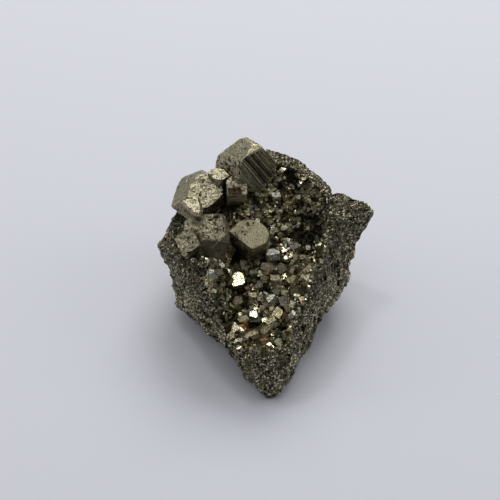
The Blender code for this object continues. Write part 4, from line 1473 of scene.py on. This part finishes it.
def build_bed():
    """The ground and all that stands on it as one piece, with a colour attribute for the tints."""
    # the ground gets the nearly black tint of painted shade
    parts = [(ground_points, ground_faces, np.tile(SHADED_GROUND_TINT, (len(ground_points), 1))), *set_parts()]
    parts += scattered_parts(middle_points, middle_normals, middle_sizes)
    parts += scattered_parts(small_points, small_normals, small_sizes)
    parts += scattered_parts(rim_points, rim_normals, rim_sizes)
    points, faces, tints = join(parts)
    piece = make_piece("pocket_bed", points, faces, druse_pyrite)
    layer = piece.data.color_attributes.new("tint", "FLOAT_COLOR", "POINT")
    layer.data.foreach_set("color", tints.ravel())
    return piece


bed = build_bed()
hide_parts("pocket_crust")
print("bed:", triangle_count(bed), "triangles")

# %% [markdown]
# ## Large crystals
#
# Each large crystal is a convex body: a few flat faces, rounded a little where they meet. It is worked
# out on a cube whose six sides are grids. A ray goes from the crystal's heart through each grid point,
# and its reach is a soft minimum of the distances at which it meets the faces' planes. Relief is then
# added face by face, as pits, ribs or terraces, because each face of a real crystal has grown in its own
# way.

# %% Rays through a cube's grid
EDGE_SHARPNESS = 46
LEAST_LEAN = 1e-6
LEAST_SQUARE = 0.35
FOOT_SHARE = -0.1


def cube_sphere(detail):
    """Unit directions and quads of a cube of detail by detail cells a side. The angles between grid
    lines are even: each coordinate is the tangent of an even angle. Points on the cube's edges are
    shared."""
    count = np.arange(detail + 1)
    across, along = np.meshgrid(count, count, indexing="ij")
    corners, quads = [], []
    for axis in range(3):
        for far in (0, detail):
            side = np.empty((detail + 1, detail + 1, 3), int)
            side[..., axis] = far
            side[..., (axis + 1) % 3] = across if far else along
            side[..., (axis + 2) % 3] = along if far else across
            start = len(corners) * (detail + 1) ** 2
            index = start + np.arange((detail + 1) ** 2).reshape(detail + 1, detail + 1)
            four = [index[:-1, :-1], index[1:, :-1], index[1:, 1:], index[:-1, 1:]]
            quads.append(np.stack(four, axis=-1).reshape(-1, 4))
            corners.append(side.reshape(-1, 3))
    shared, back = np.unique(np.concatenate(corners), axis=0, return_inverse=True)
    directions = np.tan(math.pi / 4 * (2 * shared / detail - 1))
    directions = directions / np.linalg.norm(directions, axis=1, keepdims=True)
    return directions, back.reshape(-1)[np.concatenate(quads)]


def crystal_planes(corners, heart):
    """The distinct faces round these corners, as normals and distances from the heart."""
    normals, distances = planes_of(corners)
    rows = np.unique(np.round(np.column_stack([normals, distances - normals @ heart]), 3), axis=0)
    return rows[:, :3], rows[:, 3]


def table_corners(outline, depth, shoulder, flare, lean=(0.0, 0.0)):
    """Corners of a crystal with one broad face: its outline on top, widened at the shoulder, drawn in
    at the foot."""
    outline = np.array(outline)
    distance = np.linalg.norm(outline, axis=1, keepdims=True)
    rings = []
    for share, height in ((0.0, 0.0), (1.0, -shoulder), (FOOT_SHARE, -depth)):
        ring = outline * (1 + share * flare / distance) + share * np.array(lean)
        rings.append(np.column_stack([ring, np.full(len(outline), height)]))
    return np.concatenate(rings)


def grow_crystal(name, corners, heart, centre, frame_axes, detail, relief, finish):
    """The crystal as a piece. The soft minimum is the power mean of each ray's lean towards the
    planes, and the relief moves a point along its ray, so that it rises by that much square to its
    face."""
    directions, quads = cube_sphere(detail)
    normals, distances = crystal_planes(corners, heart)
    lean = np.maximum(directions @ normals.T / distances, LEAST_LEAN)
    reach = (lean**EDGE_SHARPNESS).sum(axis=1) ** (-1 / EDGE_SHARPNESS)
    face_normals = normals[lean.argmax(axis=1)]
    local = heart + directions * reach[:, None]
    square = np.maximum((directions * face_normals).sum(axis=1), LEAST_SQUARE)
    height = relief(local, face_normals)
    local = local + directions * (height / square)[:, None]
    points = np.array(centre) + local @ np.array(frame_axes).T
    piece = make_piece(name, points, quads.tolist(), finish)
    # how deep the relief lies, for the painted shade in the crystal's pits and grooves
    mark_pit_shade(piece, height, shallow=0.08, deep=0.26)
    return piece


print("a cube sphere of 8 has", len(cube_sphere(8)[0]), "points")

# %% [markdown]
# ## What all growth faces share
#
# No face of a natural crystal is a clean plane. Most faces of the large ones get the same skin of shallow
# chips and scattered pits. Then each crystal adds its own relief to the faces that look a certain way,
# which it finds by the angle between their normals and an axis.

# %% Reliefs of the growth faces
UP = (0, 0, 1)
SKIN_LAYERS = ((chips, 0.05, 1.6, 41), (lumps, 0.02, 0.5, 42))
TURNING = 0.15


def growth_skin(points, normals):
    """The common relief of a large crystal: shallow chips, fine lumps and scattered pits."""
    return layered(points, SKIN_LAYERS) + pits(points, cell=0.75, depth=0.14, seed=43, share=0.30)


def towards(normals, axis, sharp=0.9):
    """How far each face looks along an axis: 1 where it does, 0 where it doesn't."""
    return smooth_step(normals @ (np.array(axis) / np.linalg.norm(axis)), sharp - TURNING, sharp)


print("growth reliefs ready")

# %% [markdown]
# ## The brow crystal
#
# The largest crystal stands on the brow, a cube with its edges and corners cut off by other faces. Pyrite
# is known by its striations, straight ribs across a face, which two crystal forms left by taking turns as
# it grew. A bump texture would shade them, but their steps also catch the light from the side, so they
# are relief: the coordinate across the face counts the ribs, and each rib has a height and a tilt of its
# own.

# %% The brow crystal
RIB_AXIS = np.array((0.54, -0.07, -0.84)) / np.linalg.norm((0.54, -0.07, -0.84))
RIB_FACE = np.array((0.50, -0.78, 0.38))
RIB_FACE = RIB_FACE - RIB_AXIS * (RIB_AXIS @ RIB_FACE)
RIB_FACE /= np.linalg.norm(RIB_FACE)
RIBBED_FRAME = np.stack([RIB_AXIS, np.cross(RIB_FACE, RIB_AXIS), RIB_FACE], axis=1)
BROW_RIB_WIDTH = 0.50
BROW_RIB_HEIGHT = 0.80
BROW_RIB_MIDDLE = 0.52
BROW_FLANK = (-1, -1, 0.2)
# sinks the flank under the pitted face a little, so that the hollow mark paints shade on it
SHADED_FLANK_DEPTH = 0.11
BROW_CUTS = (
    ((-1, 0.45, 1), 6.56),
    (BROW_FLANK, 4.8),
    ((-1, 0.3, -1), 5.8),
    ((0.2, -1, 1), 5.6),
    ((-1, 0.8, -0.6), 6.45),
    ((-1, 1, 0), 6.3),
    ((1, 1, 0), 5.5),
    ((1, -1, 0.3), 6.0),
    ((1, 0.6, -1), 6.5),
)


def brow_relief(points, normals):
    """Ribs that run along X on the face that looks along Z, and the common growth skin on the others,
    deeper on one flank, so that the hollow mark paints shade on it. The grooves wander a little, by
    lumps that are five times as long along the ribs."""
    ribbed = towards(normals, UP)
    along_ribs = points * (0.2, 1, 1)
    count = points[..., 1] / BROW_RIB_WIDTH + 0.6 * lumps(along_ribs, cell=1.4, seed=51)
    rib_height = BROW_RIB_HEIGHT * ribs(count, seed=52) - BROW_RIB_MIDDLE
    rib_height += 0.05 * chips(points, cell=0.9, seed=54)
    skin = growth_skin(points, normals) + pits(points, cell=0.45, depth=0.10, seed=53, share=0.36)
    # painted shade on the flank, by sinking it a little
    skin -= SHADED_FLANK_DEPTH * towards(normals, BROW_FLANK, 0.85)
    return ribbed * rib_height + (1 - ribbed) * skin


ORIGIN = np.zeros(3)
brow = grow_crystal(
    "brow_crystal",
    box_corners((4.9, 5.1, 4.7), BROW_CUTS),
    heart=ORIGIN,
    centre=(-4.5, 23.4, 28.35),
    frame_axes=RIBBED_FRAME,
    detail=96,
    relief=brow_relief,
    finish=growth["brow_pyrite"],
)
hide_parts("rim_crystals")
print("brow crystal:", triangle_count(brow), "triangles")

# %% [markdown]
# ## Two crystals with a broad face
#
# These two turn one broad face up. Cutting a box until that face has the right outline takes much trying,
# so here the outline comes first: it is a short list of the face's corners, and the body under it is the
# same outline, widened at the shoulder and drawn in at the foot.

# %% The broad crystal and the bright one in front of it
BROAD_FACE = (
    (-3.6, 2.4),
    (-2.8, 4.1),
    (0.2, 5.4),
    (3.9, 1.9),
    (4.0, -0.6),
    (0.9, -4.0),
    (-0.8, -4.4),
    (-4.6, -1.3),
)
BRIGHT_FACE = ((-2.2, 0.9), (0.3, 2.1), (1.4, 1.6), (2.0, -0.9), (1.9, -2.8), (0.3, -2.2))
STRIPE_WIDTH = 0.42
STRIPE_HEIGHT = 0.20
# how far the sides sink, so that the hollow mark paints shade on them
SIDE_SHADE_SINK = 0.30


def broad_relief(points, normals):
    """More and deeper pits on the broad face, which looks along Z, and stripes sunk down the sides, so that
    the hollow mark paints shade on them.
    """
    top = towards(normals, UP)
    side = 1 - smooth_step(np.abs(normals[..., 2]), 0.55, 0.8)
    across = points[..., 0] * np.abs(normals[..., 1]) - points[..., 1] * np.abs(normals[..., 0])
    # real stripes, sunk so that the sides also get painted shade
    stripes = STRIPE_HEIGHT * ribs(across / STRIPE_WIDTH, seed=62) - SIDE_SHADE_SINK
    holes = pits(points, cell=0.55, depth=0.13, seed=61, share=0.42)
    return growth_skin(points, normals) + top * holes + side * stripes


broad = grow_crystal(
    "broad_crystal",
    table_corners(BROAD_FACE, depth=9.5, shoulder=3.4, flare=2.7, lean=(-1.5, 0.0)),
    heart=np.array((0.0, 0.0, -3.2)),
    centre=(-13.7, 16.7, 26.5),
    frame_axes=facing((-0.05, -0.25, 0.95)),
    detail=90,
    relief=broad_relief,
    finish=growth["pale_pyrite"],
)
bright = grow_crystal(
    "bright_crystal",
    table_corners(BRIGHT_FACE, depth=5.0, shoulder=1.0, flare=0.7),
    heart=np.array((0.0, 0.0, -1.8)),
    centre=(-17.0, 13.4, 26.2),
    frame_axes=facing((-0.14, -0.16, 0.98)),
    detail=44,
    relief=growth_skin,
    finish=growth["pale_pyrite"],
)
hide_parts("rim_crystals")
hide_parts("rim_crystals")
print("broad and bright:", triangle_count(broad, bright), "triangles")

# %% [markdown]
# ## The bud and the stub
#
# Two small crystals fill the corner between the brow crystal and the broad one. They are boxes with a few
# corners cut off. The stub grew in terraces, like a stack of thin plates that each stop short of the one
# below, which is smooth noise rounded down to whole steps.

# %% The bud and the stub between them
bud = grow_crystal(
    "bud_crystal",
    box_corners((1.7, 2.0, 2.2), (((1, 1, 1), 2.4), ((-1, -1, 1), 2.6))),
    heart=ORIGIN,
    centre=(-10.8, 20.6, 26.9),
    frame_axes=facing((0, -0.2, 0.98), spin=40),
    detail=44,
    relief=growth_skin,
    finish=growth["pale_pyrite"],
)

TERRACE_HEIGHT = 0.16
TERRACES = 2.2


def stub_relief(points, normals):
    """A terraced top, where smooth noise is rounded down to whole steps, and level striations at the
    side."""
    top = towards(normals, UP)
    terraces = TERRACE_HEIGHT * np.floor(TERRACES * (lumps(points, cell=1.7, seed=71) + 1))
    stripes = 0.09 * ribs(points[..., 2] / STRIPE_WIDTH, seed=72)
    return growth_skin(points, normals) + top * (terraces - 0.4) + (1 - top) * (stripes - 0.06)


stub = grow_crystal(
    "stub_crystal",
    box_corners((2.3, 2.5, 3.6), (((1, 1, 1), 4.1), ((-1, 1, 1), 3.9), ((1, -1, 1), 4.4))),
    heart=ORIGIN,
    centre=(-6.9, 18.3, 24.9),
    frame_axes=facing((0.1, -0.3, 0.95), spin=6),
    detail=56,
    relief=stub_relief,
    finish=growth["pale_pyrite"],
)
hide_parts("rim_crystals")
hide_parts("rim_crystals")
print("bud and stub:", triangle_count(bud, stub), "triangles")

# %% [markdown]
# ## The rough crystal
#
# On the left shoulder three cubes have grown into one another and have been knocked about since. They
# could be joined with a Boolean, but the seam would be a ring of thin triangles for no gain, because the
# inner faces are never seen. So three closed crystals simply overlap, and one solid of the model stands
# behind all of them.

# %% The rough crystal on the left shoulder
ROUGH_FACE = (
    (-4.3, 3.2),
    (-0.8, 4.3),
    (4.0, 4.2),
    (5.3, 0.6),
    (5.0, -2.0),
    (1.6, -4.4),
    (-2.5, -4.3),
    (-4.7, -1.6),
)
ROUGH_LAYERS = ((chips, 0.15, 2.4, 81), (chips, 0.07, 0.8, 83))
ROUGH_SIDES = ((chips, 0.10, 1.3, 89),)
HEEL_LAYERS = ((chips, 0.16, 1.1, 86), (lumps, 0.08, 0.6, 87))


def rough_relief(points, normals):
    """A top of shallow chips and little cubes with a few holes, and sides with a few shallow chips."""
    top = towards(normals, UP, 0.75)
    grown = layered(points, ROUGH_LAYERS)
    cubes = 0.3 * np.clip(cube_grains(points, cell=0.7, seed=85), 0, 0.25)
    holes = pits(points, cell=1.8, depth=0.45, seed=82, share=0.20)
    holes += pits(points, cell=0.5, depth=0.12, seed=84, share=0.34)
    sides = layered(points, ROUGH_SIDES)
    return growth_skin(points, normals) + top * (grown + cubes - 0.04 + holes) + (1 - top) * sides


def heel_relief(points, normals):
    """Chips and small pits on every side, for the most broken crystal of the three."""
    return layered(points, HEEL_LAYERS) + pits(points, cell=0.55, depth=0.2, seed=88, share=0.36)


rough = grow_crystal(
    "rough_crystal",
    table_corners(ROUGH_FACE, depth=10.0, shoulder=2.0, flare=0.9),
    heart=np.array((0.0, 0.0, -3.4)),
    centre=(-14.3, 8.1, 22.6),
    frame_axes=facing((-0.2, -0.3, 0.93)),
    detail=88,
    relief=rough_relief,
    finish=growth["rough_pyrite"],
)
knob = grow_crystal(
    "knob_crystal",
    box_corners((3.4, 3.3, 2.6), (((1, -1, 1), 4.6), ((-1, 1, 1), 4.9), ((-1, -1, 0), 4.0))),
    heart=ORIGIN,
    centre=(-12.9, 5.6, 18.9),
    frame_axes=facing((0.3, -0.85, 0.45), spin=-14),
    detail=56,
    relief=growth_skin,
    finish=growth["dusky_pyrite"],
)
heel = grow_crystal(
    "heel_crystal",
    box_corners((2.4, 2.8, 3.0)),
    heart=ORIGIN,
    centre=(-16.6, 6.4, 19.8),
    frame_axes=facing((-0.45, -0.35, 0.8), spin=30),
    detail=44,
    relief=heel_relief,
    finish=growth["rough_pyrite"],
)
for piece in (rough, knob, heel):
    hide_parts("rough_crystal")
print("rough crystal:", triangle_count(rough, knob, heel), "triangles")

# %% [markdown]
# ## The middle crystal
#
# A thick table stands on the pocket's floor, and its top is the calmest face of the specimen: a smooth
# plate that ends in a step, with the rougher level below it showing at the left. The edge of the plate is
# a line across the face, bent a little by noise.

# %% The middle crystal
MIDDLE_FACE = (
    (-4.9, 0.6),
    (-2.6, 3.3),
    (-0.6, 4.0),
    (1.6, 3.7),
    (3.7, 2.0),
    (4.6, 0.2),
    (3.9, -2.0),
    (0.6, -3.8),
    (-0.2, -3.3),
)
PLATE_EDGE = (-0.9, -0.75)
PLATE_STEP = 0.12


def middle_relief(points, normals):
    """On top, a smooth plate on the right stands a step above a rougher one on the left."""
    top = towards(normals, UP)
    across = points[..., 0] - 0.45 * points[..., 1] + 0.8 * lumps(points, cell=1.6, seed=91)
    plate = smooth_step(across, *PLATE_EDGE)
    left = 0.06 * chips(points, cell=1.2, seed=92) - PLATE_STEP
    left += pits(points, cell=0.6, depth=0.16, seed=93, share=0.36)
    skin = growth_skin(points, normals)
    return top * (1 - plate) * left + (1 - top) * skin + 0.01 * lumps(points, cell=0.5, seed=94)


middle = grow_crystal(
    "middle_crystal",
    table_corners(MIDDLE_FACE, depth=8.5, shoulder=1.6, flare=0.6),
    heart=np.array((0.0, 0.0, -3.0)),
    centre=(-3.5, 7.7, 22.0),
    frame_axes=facing((0.1, -0.3, 0.95)),
    detail=80,
    relief=middle_relief,
    finish=growth["tan_pyrite"],
)
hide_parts("middle_crystal")
print("middle crystal:", triangle_count(middle), "triangles")
